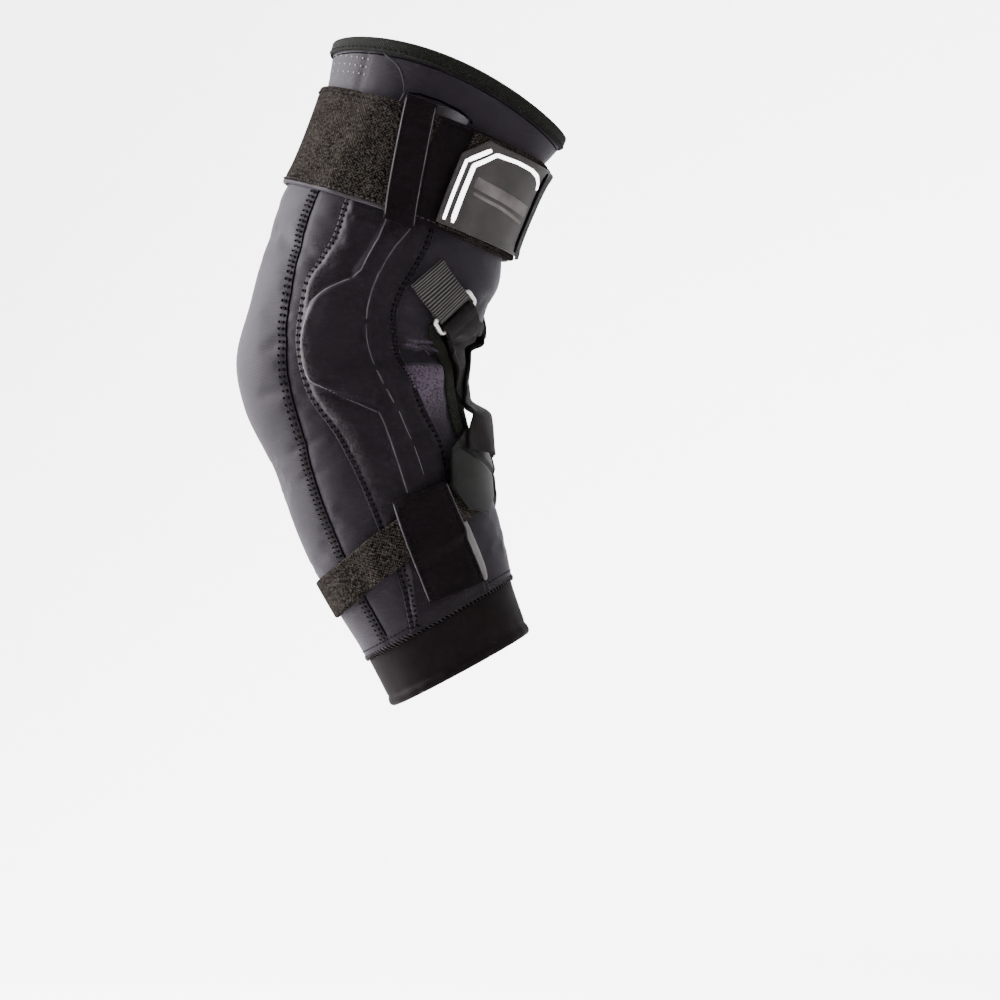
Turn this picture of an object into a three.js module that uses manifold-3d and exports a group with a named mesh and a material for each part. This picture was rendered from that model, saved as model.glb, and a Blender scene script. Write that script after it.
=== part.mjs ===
// Hinged elbow brace in its worn form: a bent padded sleeve with a hinge cover on each side, a wide
// strap round the upper arm, two taut straps that cross over the open crook, and a narrow strap round
// the back of the forearm. Millimetres, +Z up. The origin is the centre of the elbow, +X points out of
// the crook and -Y to the outer side of the arm.
//
// A place on the limb has three numbers. s is the distance along its centre line, negative up the
// upper arm and positive down the forearm. angle goes round it in degrees, 0 at the front, 90 at the
// outer side and 180 at the back. height is measured out from the outer face of the sleeve.
import * as THREE from 'three';
import { mergeVertices } from 'three/addons/utils/BufferGeometryUtils.js';
import Module from 'manifold-3d';

const wasm = await Module();
wasm.setup();

// The limb: lengths from the elbow's centre, and the lean of each half from upright.
const UPPER_LENGTH = 126;
const FORE_LENGTH = 144;
const UPPER_LEAN = 22;
const FORE_LEAN = 21.5;
const BEND_RADIUS = 71;
const ARM_DEPTH = 108;
const ARM_WIDTH = 93;

// The sleeve and its ends.
const SLEEVE_WALL = 3.2;
const RIM_CREST = 7.5;
const CUFF_LENGTH = 24.5;
const CUFF_WALL = 2.4;
const CUFF_SEAM_TILT = 5;
const CUFF_RIM_TILT = 4;
const HEM_RADIUS = 1.9;
const TAPE_THICK = 1;
const TAPE_REACH = 5;
const TAPE_CORNER = 0.8;

// The opening over the crook.
const WINDOW_TOP = 0.262;
const WINDOW_BOTTOM = 0.43;
const WINDOW_ANGLE = 46;

// The hinge covers.
const COVER_EDGE = 1.2;
const COVER_PAD = 3;
const COVER_TAPER = 6;
const BAR_RISE = 1.7;
const BAR_HALF_ANGLE = 7.5;
const BAR_FLAT_SHARE = 0.45;
const BAR_DRAPE_SHARE = 2.2;
const PLATE_RISE = 2.6;
const PLATE_BEVEL = 3;

// The wide strap, its keeper, its overlapping end and the plate on it.
const UPPER_STRAP_PLACE = 0.69;
const UPPER_STRAP_WIDTH = 45;
const UPPER_STRAP_THICK = 2.4;
const UPPER_STRAP_TILT = 2.5;
const KEEPER_WIDTH = 12;
const KEEPER_THICK = 1.2;
const KEEPER_LAP = 3.5;
const KEEPER_TOP_ANGLE = 92;
const KEEPER_BOTTOM_ANGLE = 82;
const STRAP_END_THICK = 1.8;
const STRAP_END_START = 66;
const STRAP_END_FINISH = -42;
const LABEL_THICK = 1.3;
const LABEL_INSET = 2.8;
const LABEL_START = 68;
const LABEL_FINISH = -12;
const LABEL_CHAMFER = 9;
const LABEL_GAP = 1.2;

// The rings and what pulls on them.
const RING_LONG = 23;
const RING_SHORT = 9;
const RING_WIRE = 2.2;
const RING_BEND = 1.54;
const RING_PLACE = 0.29;
const RING_ANGLE = 42;
const RING_HEIGHT = 4.9;
const PULL_TURN = 55;
const WEBBING_LENGTH = 16;
const WEBBING_THICK = 1.3;
const WEBBING_GAP = 0.68;
const WEBBING_FREE = 2.5;
const SEWN_LENGTH = 4;
const CROSS_STRAP_WIDTH = 17.5;
const CROSS_STRAP_THICK = 1.3;
const FOLD_BACK = 12;
const CROSSING_GAP = 1;
const CROSS_END = 0.15;
const CROSS_SINK = 1.95;
const PULL_STRAIGHT = 6;
const SEWN_BOW = 0.4;

// The forearm strap, its patches and the grip tabs.
const FOREARM_STRAP_PLACE = 0.573;
const FOREARM_STRAP_TILT = 11.5;
const FOREARM_STRAP_WIDTH = 18;
const FOREARM_STRAP_THICK = 1.8;
const FOREARM_STRAP_END = 34;
const PATCH_PLACE = 0.612;
const PATCH_HEIGHT = 46;
const PATCH_THICK = 1.2;
const TAB_PLACE = 0.455;
const TAB_ANGLE = 31;
const TAB_LENGTH = 35;
const TAB_WIDTH = 30;
const TAB_THICK = 1.8;
const TAB_TURN = 20;
const TAB_SIDE = 0.45;
const TAB_POINT = 0.55;
const TAB_GAP = 0.72;

// Clearances between layers, and between a wire and the eye round it.
const LAYER_GAP = 0.45;
const WINDOW_TAPE_GAP = 0.7;
const EYE_GAP = 0.3;
const LAP_MARGIN = 2.5;
const STRAP_ON_TAB_GAP = 0.9;

// How a layer comes down beside what it lies on: the spread in degrees, and lengths in millimetres.
const BED_SPREAD = 4.5;
const BED_FADE = 16;
const EYE_TO_LIMB_START = 3;
const EYE_TO_LIMB_END = 14;
const INTO_WINDOW_START = 2.5;
const INTO_WINDOW_END = 9;
const ONTO_TAB_START = 14;
const ONTO_TAB_END = 3;
const CROSSING_END_ANGLE = 32;
const CROSSING_FULL_ANGLE = 18;

// How finely the surfaces are divided.
const FRONT_STEPS = 22;
const BACK_STEPS = 12;
const FRONT_REACH = 84;
const ROW_STEP = 13;
const BEND_ROW_STEP = 5;
const STRAP_STEPS = 48;
const FOREARM_STRAP_STEPS = 36;
const WIDE_STRAP_ROWS = 3;
const NARROW_STRAP_ROWS = 2;
const KEEPER_COLUMNS = 3;
const KEEPER_ROWS = 12;
const STRAP_END_COLUMNS = 14;
const LABEL_COLUMNS = 12;
const TAB_COLUMNS = 6;
const PATCH_COLUMNS = 6;
const PATCH_ROWS = 9;
const COVER_STEPS = 9;
const WINDOW_STEPS = 17;
const WINDOW_END_SHARE = 0.1;
const WINDOW_ACROSS_STEPS = 3;
const OPENING_STEPS = 8;
const WIRE_SIDES = 6;
const WIRE_BEND_STEPS = 3;
const WALK_STEP = 1.5;
const ROUTE_STEPS = 16;
const FIRST_ROUTE_STEP = 3.5;
const EYE_SIDES = 10;
const TEST_STEP = 0.5;

const RAD = Math.PI / 180;
const FULL_TURN = 360;
const BACK = 180;

// Sections of the limb. along is a share of the upper length where negative and of the forearm length
// where positive; depth and shift are shares of the arm's depth, and width is one of its width.
const SECTIONS = [
  { along: -1.07, depth: 1.0, width: 1.0, shift: -0.006 },
  { along: -0.97, depth: 0.991, width: 1.0, shift: 0.003 },
  { along: -0.86, depth: 0.921, width: 0.989, shift: -0.005 },
  { along: -0.71, depth: 0.898, width: 0.984, shift: -0.007 },
  { along: -0.57, depth: 0.903, width: 0.978, shift: -0.006 },
  { along: -0.47, depth: 0.935, width: 0.957, shift: -0.002 },
  { along: -0.36, depth: 0.93, width: 0.935, shift: 0 },
  { along: -0.24, depth: 0.93, width: 0.914, shift: 0.011 },
  { along: -0.12, depth: 0.924, width: 0.892, shift: 0.018 },
  { along: 0, depth: 0.956, width: 0.882, shift: 0.003 },
  { along: 0.085, depth: 0.932, width: 0.884, shift: 0.009 },
  { along: 0.18, depth: 0.882, width: 0.892, shift: 0.018 },
  { along: 0.28, depth: 0.844, width: 0.892, shift: 0.004 },
  { along: 0.42, depth: 0.816, width: 0.86, shift: -0.012 },
  { along: 0.56, depth: 0.781, width: 0.817, shift: -0.02 },
  { along: 0.7, depth: 0.734, width: 0.763, shift: -0.018 },
  { along: 0.83, depth: 0.675, width: 0.71, shift: -0.015 },
  { along: 1.03, depth: 0.64, width: 0.672, shift: -0.004 },
];

// Folds and swellings of the worn sleeve, the same on both sides. reach is a share of the length that
// along belongs to, sweep is in degrees, and rise is a share of the arm's depth.
const FOLDS = [
  { along: -0.02, angle: 54, reach: 0.05, sweep: 20, rise: -0.017 },
  { along: -0.12, angle: 60, reach: 0.06, sweep: 16, rise: 0.013 },
  { along: 0.12, angle: 50, reach: 0.08, sweep: 22, rise: 0.016 },
  { along: 0.26, angle: 56, reach: 0.06, sweep: 20, rise: -0.01 },
  { along: -0.43, angle: 20, reach: 0.05, sweep: 34, rise: 0.012 },
  { along: -0.3, angle: 150, reach: 0.05, sweep: 30, rise: -0.008 },
];

// Outline of a hinge cover by angle, with the middle of the bar that lies under it.
const COVER_OUTLINE = [
  { along: -0.905, front: 69, rear: 103, bar: 93 },
  { along: -0.71, front: 67, rear: 107, bar: 88 },
  { along: -0.52, front: 64.5, rear: 111, bar: 83 },
  { along: -0.38, front: 66, rear: 110.5, bar: 85 },
  { along: -0.29, front: 69, rear: 114, bar: 88 },
  { along: -0.21, front: 69.5, rear: 118, bar: 87 },
  { along: -0.095, front: 66, rear: 116.5, bar: 83 },
  { along: 0, front: 61.5, rear: 112, bar: 79 },
  { along: 0.097, front: 57, rear: 109.5, bar: 76 },
  { along: 0.194, front: 55.5, rear: 104.5, bar: 74 },
  { along: 0.333, front: 47.5, rear: 99.5, bar: 72 },
  { along: 0.5, front: 48.5, rear: 97.5, bar: 70 },
  { along: 0.694, front: 44.5, rear: 99, bar: 68 },
  { along: 0.86, front: 42, rear: 108, bar: 68 },
];

// Outline of the raised hinge plate under a cover: a D with its straight side to the front.
const PLATE_OUTLINE = [
  { along: -0.33, front: 84, rear: 84 },
  { along: -0.245, front: 84, rear: 99 },
  { along: -0.15, front: 82.5, rear: 111 },
  { along: 0.05, front: 76, rear: 108 },
  { along: 0.097, front: 75, rear: 97 },
  { along: 0.19, front: 76, rear: 76 },
];

// Half width of the crook opening, a share of its widest angle, from its upper to its lower end.
const WINDOW_OUTLINE = [
  { share: 0, half: 0.42 },
  { share: 0.03, half: 0.78 },
  { share: 0.08, half: 1 },
  { share: 0.18, half: 0.88 },
  { share: 0.34, half: 0.74 },
  { share: 0.55, half: 0.72 },
  { share: 0.75, half: 0.66 },
  { share: 0.9, half: 0.6 },
  { share: 0.97, half: 0.44 },
  { share: 1, half: 0.2 },
];

// Path of a cross strap between its ring and its tab; angles are positive on the tab's side.
const CROSS_PATH = [
  { along: -0.175, angle: -26 },
  { along: 0.09, angle: -13.5 },
  { along: 0.237, angle: 0 },
  { along: 0.3, angle: 11 },
  { along: 0.372, angle: 22 },
];

// Front and rear edges of a forearm patch, from its top to its bottom.
const PATCH_TOP_FRONT = 56;
const PATCH_TOP_REAR = 85;
const PATCH_BOTTOM_FRONT = 49;
const PATCH_BOTTOM_REAR = 86;

// Stations of a strap that goes round a ring's bar, as shares of its outer radius there, and those of
// the elastic webbing beyond them in millimetres.
const EYE_STATIONS = [-0.98, -0.75, 0, 0.75, 1];
const WEBBING_STATIONS = [5, 8, 11, 13.5];

// Shares across a narrow strap from its middle, down the plate, and down a grip tab from its middle.
const STRAP_SHARES = [-0.5, -0.25, 0, 0.25, 0.5];
const LABEL_SHARES = [0, 0.12, 0.24, 0.5, 0.75, 1];
const TAB_SHARES = [-1, -0.72, -0.45, -0.15, 0.15, 0.45, 0.72, 1];

const clamp = (value, low, high) => Math.min(Math.max(value, low), high);
const mix = (from, to, share) => from + (to - from) * share;

/** Evenly spaced shares from 0 to 1. */
const shares = (count) => Array.from({ length: count + 1 }, (_, index) => index / count);

/** Rises smoothly from 0 to 1 while value goes from low to high. */
function ease(value, low, high) {
  const share = clamp((value - low) / (high - low), 0, 1);
  return share * share * (3 - 2 * share);
}

/** Reads a column of a table at a place between its rows, along a smooth curve through them. */
function readTable(rows, place, column, by = 'along') {
  const last = rows.length - 1;
  const at = clamp(place, rows[0][by], rows[last][by]);
  let low = 0;
  while (low < last - 1 && rows[low + 1][by] < at) low += 1;
  const slope = (row) => {
    const before = rows[Math.max(row - 1, 0)];
    const after = rows[Math.min(row + 1, last)];
    return (after[column] - before[column]) / (after[by] - before[by]);
  };
  const span = rows[low + 1][by] - rows[low][by];
  const t = (at - rows[low][by]) / span;
  const start = rows[low][column];
  const end = rows[low + 1][column];
  const hermite = (2 * t - 3) * t * t;
  return start + (start - end) * hermite
    + span * t * (1 - t) * ((1 - t) * slope(low) - t * slope(low + 1));
}

/** Turns a distance along the centre line into a share of the limb half that it lies on. */
const shareAlong = (s) => (s < 0 ? s / UPPER_LENGTH : s / FORE_LENGTH);
const upper = (share) => -share * UPPER_LENGTH;
const fore = (share) => share * FORE_LENGTH;
const fromShare = (along) => (along < 0 ? along * UPPER_LENGTH : along * FORE_LENGTH);

const MIDDLE_LEAN = (UPPER_LEAN - FORE_LEAN) / 2 * RAD;
const BEND_START = -BEND_RADIUS * (UPPER_LEAN * RAD - MIDDLE_LEAN);
const BEND_END = BEND_RADIUS * (MIDDLE_LEAN + FORE_LEAN * RAD);

/** The centre line at s: its point and the direction to the front. Two straights joined by an arc. */
function limb(s) {
  const inBend = clamp(s, BEND_START, BEND_END);
  const lean = MIDDLE_LEAN - inBend / BEND_RADIUS;
  const down = new THREE.Vector3(-Math.sin(lean), 0, -Math.cos(lean));
  const forward = new THREE.Vector3(Math.cos(lean), 0, -Math.sin(lean));
  const centre = new THREE.Vector3(
    BEND_RADIUS * (Math.cos(MIDDLE_LEAN) - Math.cos(lean)),
    0,
    BEND_RADIUS * (Math.sin(lean) - Math.sin(MIDDLE_LEAN)),
  );
  centre.addScaledVector(down, s - inBend);
  return { centre, forward };
}

/** Half depth, half width and forward shift of the sleeve's section at s. */
function section(s) {
  const along = shareAlong(s);
  return {
    depth: readTable(SECTIONS, along, 'depth') * ARM_DEPTH / 2,
    width: readTable(SECTIONS, along, 'width') * ARM_WIDTH / 2,
    shift: readTable(SECTIONS, along, 'shift') * ARM_DEPTH,
  };
}

/** Brings an angle to the range from -180 to 180 and drops its sign, as both sides are alike. */
function sideless(angle) {
  const turned = ((angle % FULL_TURN) + FULL_TURN) % FULL_TURN;
  return turned > BACK ? FULL_TURN - turned : turned;
}

/** Height of the folds at a place: a sum of smooth hills and hollows. */
function foldHeight(s, angle) {
  const turn = sideless(angle);
  const along = shareAlong(s);
  let height = 0;
  for (const fold of FOLDS) {
    const down = (along - fold.along) / fold.reach;
    const round = (turn - fold.angle) / fold.sweep;
    height += fold.rise * ARM_DEPTH * Math.exp(-down * down - round * round);
  }
  return height;
}

/** The point at a place on the limb: the section's ellipse, pushed out along its normal. */
function onLimb(s, angle, height) {
  const { centre, forward } = limb(s);
  const { depth, width, shift } = section(s);
  const front = Math.cos(angle * RAD);
  const side = Math.sin(angle * RAD);
  const outward = new THREE.Vector2(front / depth, side / width).normalize();
  const lift = height + foldHeight(s, angle);
  const reach = depth * front + outward.x * lift + shift;
  const aside = width * side + outward.y * lift;
  return new THREE.Vector3(0, -aside, 0).add(centre).addScaledVector(forward, reach);
}

/** Outward direction of the limb's surface, without its folds' slopes along the limb. */
function outwardAt(s, angle) {
  return onLimb(s, angle, 1).sub(onLimb(s, angle, 0)).normalize();
}

/** Millimetres round the limb for one degree at a place. */
function perDegree(s, angle) {
  const span = onLimb(s, angle + TEST_STEP, 0).distanceTo(onLimb(s, angle - TEST_STEP, 0));
  return span / (2 * TEST_STEP);
}

/** Places between two ends of the limb, closer together where it bends. */
function placesBetween(start, end) {
  const places = [start];
  const corners = [BEND_START, BEND_END, end].filter((corner) => corner > start && corner <= end);
  let from = start;
  for (const corner of corners) {
    const middle = (from + corner) / 2;
    const step = middle > BEND_START && middle < BEND_END ? BEND_ROW_STEP : ROW_STEP;
    const count = Math.max(1, Math.ceil((corner - from) / step));
    for (let index = 1; index <= count; index += 1) places.push(mix(from, corner, index / count));
    from = corner;
  }
  return places;
}

/**
 * Makes one closed body from a row of sections with equal numbers of points. A closed row joins its
 * last section to its first. On an open row, the first half of a section's points runs over the top
 * and the second half back underneath, and each end is covered by a strip between the halves.
 */
function bodyFrom(sections, closed) {
  const size = sections[0].length;
  const positions = sections.flat().flatMap((point) => point.toArray());
  const index = [];
  const quad = (a, b, c, d) => index.push(a, b, c, a, c, d);
  const count = sections.length;
  for (let row = 0; row < (closed ? count : count - 1); row += 1) {
    const here = row * size;
    const next = ((row + 1) % count) * size;
    for (let point = 0; point < size; point += 1) {
      const beside = (point + 1) % size;
      quad(here + point, next + point, next + beside, here + beside);
    }
  }
  const cover = (start, flip) => {
    for (let point = 0; point < size / 2 - 1; point += 1) {
      const corners = [point, point + 1, size - 2 - point, size - 1 - point].map((k) => start + k);
      quad(...(flip ? corners.reverse() : corners));
    }
  };
  if (!closed) {
    cover(0, false);
    cover((count - 1) * size, true);
  }
  const geometry = new THREE.BufferGeometry();
  geometry.setAttribute('position', new THREE.Float32BufferAttribute(positions, 3));
  geometry.setIndex(signedVolume(positions, index) < 0 ? index.reverse() : index);
  return geometry;
}

/** Volume inside a triangle mesh, negative where its faces point inwards. */
function signedVolume(positions, index) {
  const corner = (k) => new THREE.Vector3().fromArray(positions, index[k] * 3);
  let volume = 0;
  for (let k = 0; k < index.length; k += 3) {
    volume += corner(k).dot(corner(k + 1).cross(corner(k + 2))) / 6;
  }
  return volume;
}

/** Turns a closed geometry into a solid that can be cut. */
function solidOf(geometry) {
  const bare = new THREE.BufferGeometry();
  bare.setAttribute('position', geometry.getAttribute('position'));
  bare.setIndex(geometry.getIndex());
  const merged = mergeVertices(bare);
  return new wasm.Manifold(new wasm.Mesh({
    numProp: 3,
    vertProperties: new Float32Array(merged.getAttribute('position').array),
    triVerts: new Uint32Array(merged.getIndex().array),
  }));
}

/** The first geometry with the others cut out of it. */
function cutFrom(geometry, cutters) {
  let solid = solidOf(geometry);
  for (const cutter of cutters) solid = solid.subtract(solidOf(cutter));
  const { vertProperties, triVerts } = solid.getMesh();
  const cut = new THREE.BufferGeometry();
  cut.setAttribute('position', new THREE.BufferAttribute(vertProperties, 3));
  cut.setIndex(new THREE.BufferAttribute(triVerts, 1));
  return cut;
}

/** Angles round the limb, closer together at the front, where the sleeve has its opening. */
function sleeveAngles() {
  const front = shares(FRONT_STEPS).map((share) => mix(-FRONT_REACH, FRONT_REACH, share));
  const back = shares(BACK_STEPS).map((share) => mix(FRONT_REACH, FULL_TURN - FRONT_REACH, share));
  return [...front, ...back.slice(1, -1)];
}

/** A closed band round the limb. profile gives the [s, height] corners of its section at an angle. */
function band(angles, profile) {
  const sections = angles.map((angle) => (
    profile(angle).map(([s, height]) => onLimb(s, angle, height))
  ));
  return bodyFrom(sections, true);
}

/**
 * A sheet laid on the limb. place gives the { s, angle } at shares across and down it, low and high
 * give the heights of its two faces there.
 */
function sheet(columns, rows, place, low, high) {
  const sections = rows.map((down) => {
    const over = [];
    const under = [];
    for (let column = 0; column <= columns; column += 1) {
      const { s, angle } = place(column / columns, down);
      over.push(onLimb(s, angle, high(s, angle)));
      under.push(onLimb(s, angle, low(s, angle)));
    }
    return [...over, ...under.reverse()];
  });
  return bodyFrom(sections, false);
}

const rimTop = (angle) => -UPPER_LENGTH - RIM_CREST * Math.sin(angle * RAD) ** 2;
const rimBottom = (angle) => FORE_LENGTH - CUFF_RIM_TILT * Math.cos(angle * RAD);
const cuffSeam = (angle) => FORE_LENGTH - CUFF_LENGTH - CUFF_SEAM_TILT * Math.cos(angle * RAD);

/** Corners of a tape folded over an edge: how far in from the edge, and the height. */
function tapeProfile(gap) {
  const near = gap;
  const far = gap + TAPE_THICK;
  const round = TAPE_THICK * TAPE_CORNER;
  return [
    [TAPE_REACH, far],
    [-near, far],
    [-near - round, near - round],
    [-far, -SLEEVE_WALL / 2],
    [-near - round, round - near - SLEEVE_WALL],
    [-near, -SLEEVE_WALL - far],
    [TAPE_REACH, -SLEEVE_WALL - far],
    [TAPE_REACH, -SLEEVE_WALL - near],
    [-near, -SLEEVE_WALL - near],
    [-near, near],
    [TAPE_REACH, near],
  ];
}

/** How far inside the cover's outline a place lies, in millimetres, negative outside it. */
function insideCover(s, angle) {
  const turn = sideless(angle);
  const along = shareAlong(s);
  const front = readTable(COVER_OUTLINE, along, 'front');
  const rear = readTable(COVER_OUTLINE, along, 'rear');
  const scale = perDegree(s, turn);
  return Math.min(turn - front, rear - turn) * scale;
}

const COVER_TOP = fromShare(COVER_OUTLINE[0].along);

/**
 * Height of the top of a hinge cover over the sleeve. Where something is stretched over the cover,
 * its edges don't thin out and its raised parts are wider, by spread degrees.
 */
function coverHeight(s, angle, spread = 0) {
  const turn = sideless(angle);
  const along = shareAlong(s);
  const scale = perDegree(s, turn);
  const edge = Math.min(insideCover(s, angle), s - COVER_TOP, cuffSeam(angle) - s);
  const full = spread > 0 ? 1 : ease(edge, 0, COVER_TAPER);
  const pad = mix(COVER_EDGE, COVER_PAD, full);
  const bar = readTable(COVER_OUTLINE, along, 'bar');
  const offBar = Math.max(0, Math.abs(turn - bar) - spread) / BAR_HALF_ANGLE;
  const barRise = BAR_RISE * (1 - ease(offBar, BAR_FLAT_SHARE, spread > 0 ? BAR_DRAPE_SHARE : 1)) * full;
  const plateFront = readTable(PLATE_OUTLINE, along, 'front') - spread;
  const plateRear = readTable(PLATE_OUTLINE, along, 'rear') + spread;
  const inPlate = Math.min(turn - plateFront, plateRear - turn) * scale;
  const onPlate = along > PLATE_OUTLINE[0].along && along < PLATE_OUTLINE.at(-1).along;
  const plateRise = onPlate ? PLATE_RISE * ease(inPlate, 0, PLATE_BEVEL) : 0;
  return LAYER_GAP + pad + Math.max(barRise, plateRise);
}

/** Top of whatever a strap lies on: the cover, eased down to the bare sleeve beside it. */
function bedHeight(s, angle) {
  const turn = sideless(angle);
  const outside = Math.max(0, -insideCover(s, angle) / perDegree(s, turn) - BED_SPREAD);
  const above = Math.max(0, COVER_TOP - LAP_MARGIN - s);
  const fade = (1 - ease(outside, 0, BED_FADE)) * (1 - ease(above, 0, BED_FADE));
  return coverHeight(s, angle, BED_SPREAD) * fade;
}

const strapMiddle = (angle) => upper(UPPER_STRAP_PLACE) - UPPER_STRAP_TILT * Math.cos(angle * RAD);
const forearmMiddle = (angle) => fore(FOREARM_STRAP_PLACE) - FOREARM_STRAP_TILT * Math.cos(angle * RAD);

/** Share of a strap's thickness that lies at a distance from its middle, with a soft shoulder. */
function underStrap(distance, width) {
  return 1 - ease(Math.abs(distance), width / 2 + LAP_MARGIN, width / 2 + LAP_MARGIN * 3);
}

/** Top of the wide strap, or of what lies beside it. */
function upperStrapTop(s, angle) {
  const share = underStrap(s - strapMiddle(angle), UPPER_STRAP_WIDTH);
  return bedHeight(s, angle) + (LAYER_GAP + UPPER_STRAP_THICK) * share;
}

/** Top of the forearm strap, or of what lies beside it. */
function forearmStrapTop(s, angle) {
  const share = underStrap(s - forearmMiddle(angle), FOREARM_STRAP_WIDTH);
  const turn = sideless(angle);
  const reached = ease(turn, FOREARM_STRAP_END - BED_FADE, FOREARM_STRAP_END - BED_SPREAD);
  return bedHeight(s, angle) + (LAYER_GAP + FOREARM_STRAP_THICK) * share * reached;
}

/** Outline of the crook opening on one side, as a place for a share down it. */
function windowEdge(share, side) {
  const half = readTable(WINDOW_OUTLINE, share, 'half', 'share') * WINDOW_ANGLE;
  return { s: mix(upper(WINDOW_TOP), fore(WINDOW_BOTTOM), share), angle: half * side };
}

/** Shares down the crook opening: close together at its round ends, even between them. */
function windowShares() {
  const low = WINDOW_END_SHARE;
  const high = 1 - WINDOW_END_SHARE;
  const even = shares(WINDOW_STEPS).filter((share) => share > low && share < high);
  const ends = WINDOW_OUTLINE.map((row) => row.share).filter((share) => share < low || share >= high);
  return [...ends, ...even].sort((one, other) => one - other);
}

function makeSleeve() {
  const taped = rimTop(0) + TAPE_REACH;
  const places = placesBetween(taped, cuffSeam(0));
  const rows = places.map((s) => (s - taped) / (cuffSeam(0) - taped));
  const bent = (s) => s >= BEND_START && s <= BEND_END;
  const last = rows.length - 1;
  const innerRows = rows.filter((_, row) => row % 2 === 0 || row === last || bent(places[row]));
  const wall = band(sleeveAngles(), (angle) => {
    const top = rimTop(angle);
    const place = (share) => mix(top + TAPE_REACH, cuffSeam(angle), share);
    const outer = rows.map((share) => [place(share), 0]);
    const inner = innerRows.map((share) => [place(share), -SLEEVE_WALL]);
    return [[top, 0], ...outer, ...inner.reverse(), [top, -SLEEVE_WALL]];
  });
  const opening = sheet(
    OPENING_STEPS,
    windowShares(),
    (across, down) => {
      const edge = windowEdge(down, 1);
      return { s: edge.s, angle: mix(-edge.angle, edge.angle, across) };
    },
    () => -SLEEVE_WALL * 2,
    () => SLEEVE_WALL,
  );
  return cutFrom(wall, [opening]);
}

function makeTopBinding() {
  const profile = tapeProfile(LAYER_GAP);
  return band(sleeveAngles(), (angle) => profile.map(([inward, height]) => [rimTop(angle) + inward, height]));
}

function makeBottomCuff() {
  const inner = -SLEEVE_WALL;
  const outer = inner + CUFF_WALL;
  const middle = (inner + outer) / 2;
  return band(sleeveAngles(), (angle) => {
    const start = cuffSeam(angle) + LAYER_GAP;
    const end = rimBottom(angle) - HEM_RADIUS;
    return [
      [start, outer],
      [end - HEM_RADIUS, outer],
      [end, middle + HEM_RADIUS],
      [end + HEM_RADIUS, middle],
      [end, middle - HEM_RADIUS],
      [end - HEM_RADIUS, inner],
      [start, inner],
    ];
  });
}

/** Tape folded over the edge of the crook opening, swept once round its outline. */
function makeWindowBinding() {
  const down = windowShares();
  const outer = down.map((share) => windowEdge(share, 1));
  const inner = down.map((share) => windowEdge(share, -1)).reverse();
  const across = (from, to) => shares(WINDOW_ACROSS_STEPS).slice(1, -1).map((share) => (
    { s: from.s, angle: mix(from.angle, to.angle, share) }
  ));
  const loop = [...outer, ...across(outer.at(-1), inner[0]), ...inner, ...across(inner.at(-1), outer[0])];
  const profile = tapeProfile(WINDOW_TAPE_GAP);
  const sections = loop.map((place, index) => {
    const before = loop[(index + loop.length - 1) % loop.length];
    const after = loop[(index + 1) % loop.length];
    const away = sideways(place, before, after);
    return profile.map(([inward, height]) => {
      const { s, angle } = walk(place, away, inward);
      return onLimb(s, angle, height);
    });
  });
  return bodyFrom(sections, true);
}

/** Walks over the limb's surface from a place, a distance in a direction, in short steps. */
function walk(place, direction, distance) {
  let { s, angle } = place;
  const count = Math.max(1, Math.ceil(Math.abs(distance) / WALK_STEP));
  const step = distance / count;
  for (let taken = 0; taken < count; taken += 1) {
    const perAlong = onLimb(s + TEST_STEP, angle, 0).sub(onLimb(s - TEST_STEP, angle, 0));
    const perTurn = onLimb(s, angle + TEST_STEP, 0).sub(onLimb(s, angle - TEST_STEP, 0));
    s += step * direction.dot(perAlong) / perAlong.lengthSq();
    angle += step * direction.dot(perTurn) / perTurn.lengthSq();
  }
  return { s, angle };
}

/** Unit direction on the limb at right angles to the way from one place to another. */
function sideways(place, before, after) {
  const forward = onLimb(after.s, after.angle, 0).sub(onLimb(before.s, before.angle, 0)).normalize();
  return forward.cross(outwardAt(place.s, place.angle)).normalize();
}

function makeHingeCover(side) {
  const rows = placesBetween(COVER_TOP, cuffSeam(BACK / 2));
  const span = cuffSeam(BACK / 2) - COVER_TOP;
  return sheet(
    COVER_STEPS,
    rows.map((s) => (s - COVER_TOP) / span),
    (across, down) => {
      const middle = mix(COVER_TOP, cuffSeam(BACK / 2), down);
      const along = shareAlong(middle);
      const front = readTable(COVER_OUTLINE, along, 'front');
      const rear = readTable(COVER_OUTLINE, along, 'rear');
      const angle = mix(front, rear, across);
      const s = mix(COVER_TOP, cuffSeam(angle), down);
      return { s, angle: angle * side };
    },
    () => LAYER_GAP,
    (s, angle) => coverHeight(s, angle),
  );
}

function makeUpperStrap() {
  const rows = shares(WIDE_STRAP_ROWS);
  const angles = shares(STRAP_STEPS).slice(0, -1).map((share) => share * FULL_TURN);
  return band(angles, (angle) => {
    const top = strapMiddle(angle) - UPPER_STRAP_WIDTH / 2;
    const places = rows.map((share) => top + share * UPPER_STRAP_WIDTH);
    const low = places.map((s) => [s, bedHeight(s, angle) + LAYER_GAP]);
    const high = low.map(([s, height]) => [s, height + UPPER_STRAP_THICK]);
    return [...high, ...low.reverse()];
  });
}

function makeStrapKeeper() {
  const half = UPPER_STRAP_WIDTH / 2 + KEEPER_LAP;
  const place = (across, down) => {
    const middle = mix(KEEPER_TOP_ANGLE, KEEPER_BOTTOM_ANGLE, down);
    const s = strapMiddle(middle) + mix(-half, half, down);
    const sweep = KEEPER_WIDTH / perDegree(s, middle);
    return { s, angle: middle + (across - 0.5) * sweep };
  };
  const low = (s, angle) => upperStrapTop(s, angle) + LAYER_GAP;
  const high = (s, angle) => low(s, angle) + KEEPER_THICK;
  return sheet(KEEPER_COLUMNS, shares(KEEPER_ROWS), place, low, high);
}

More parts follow.
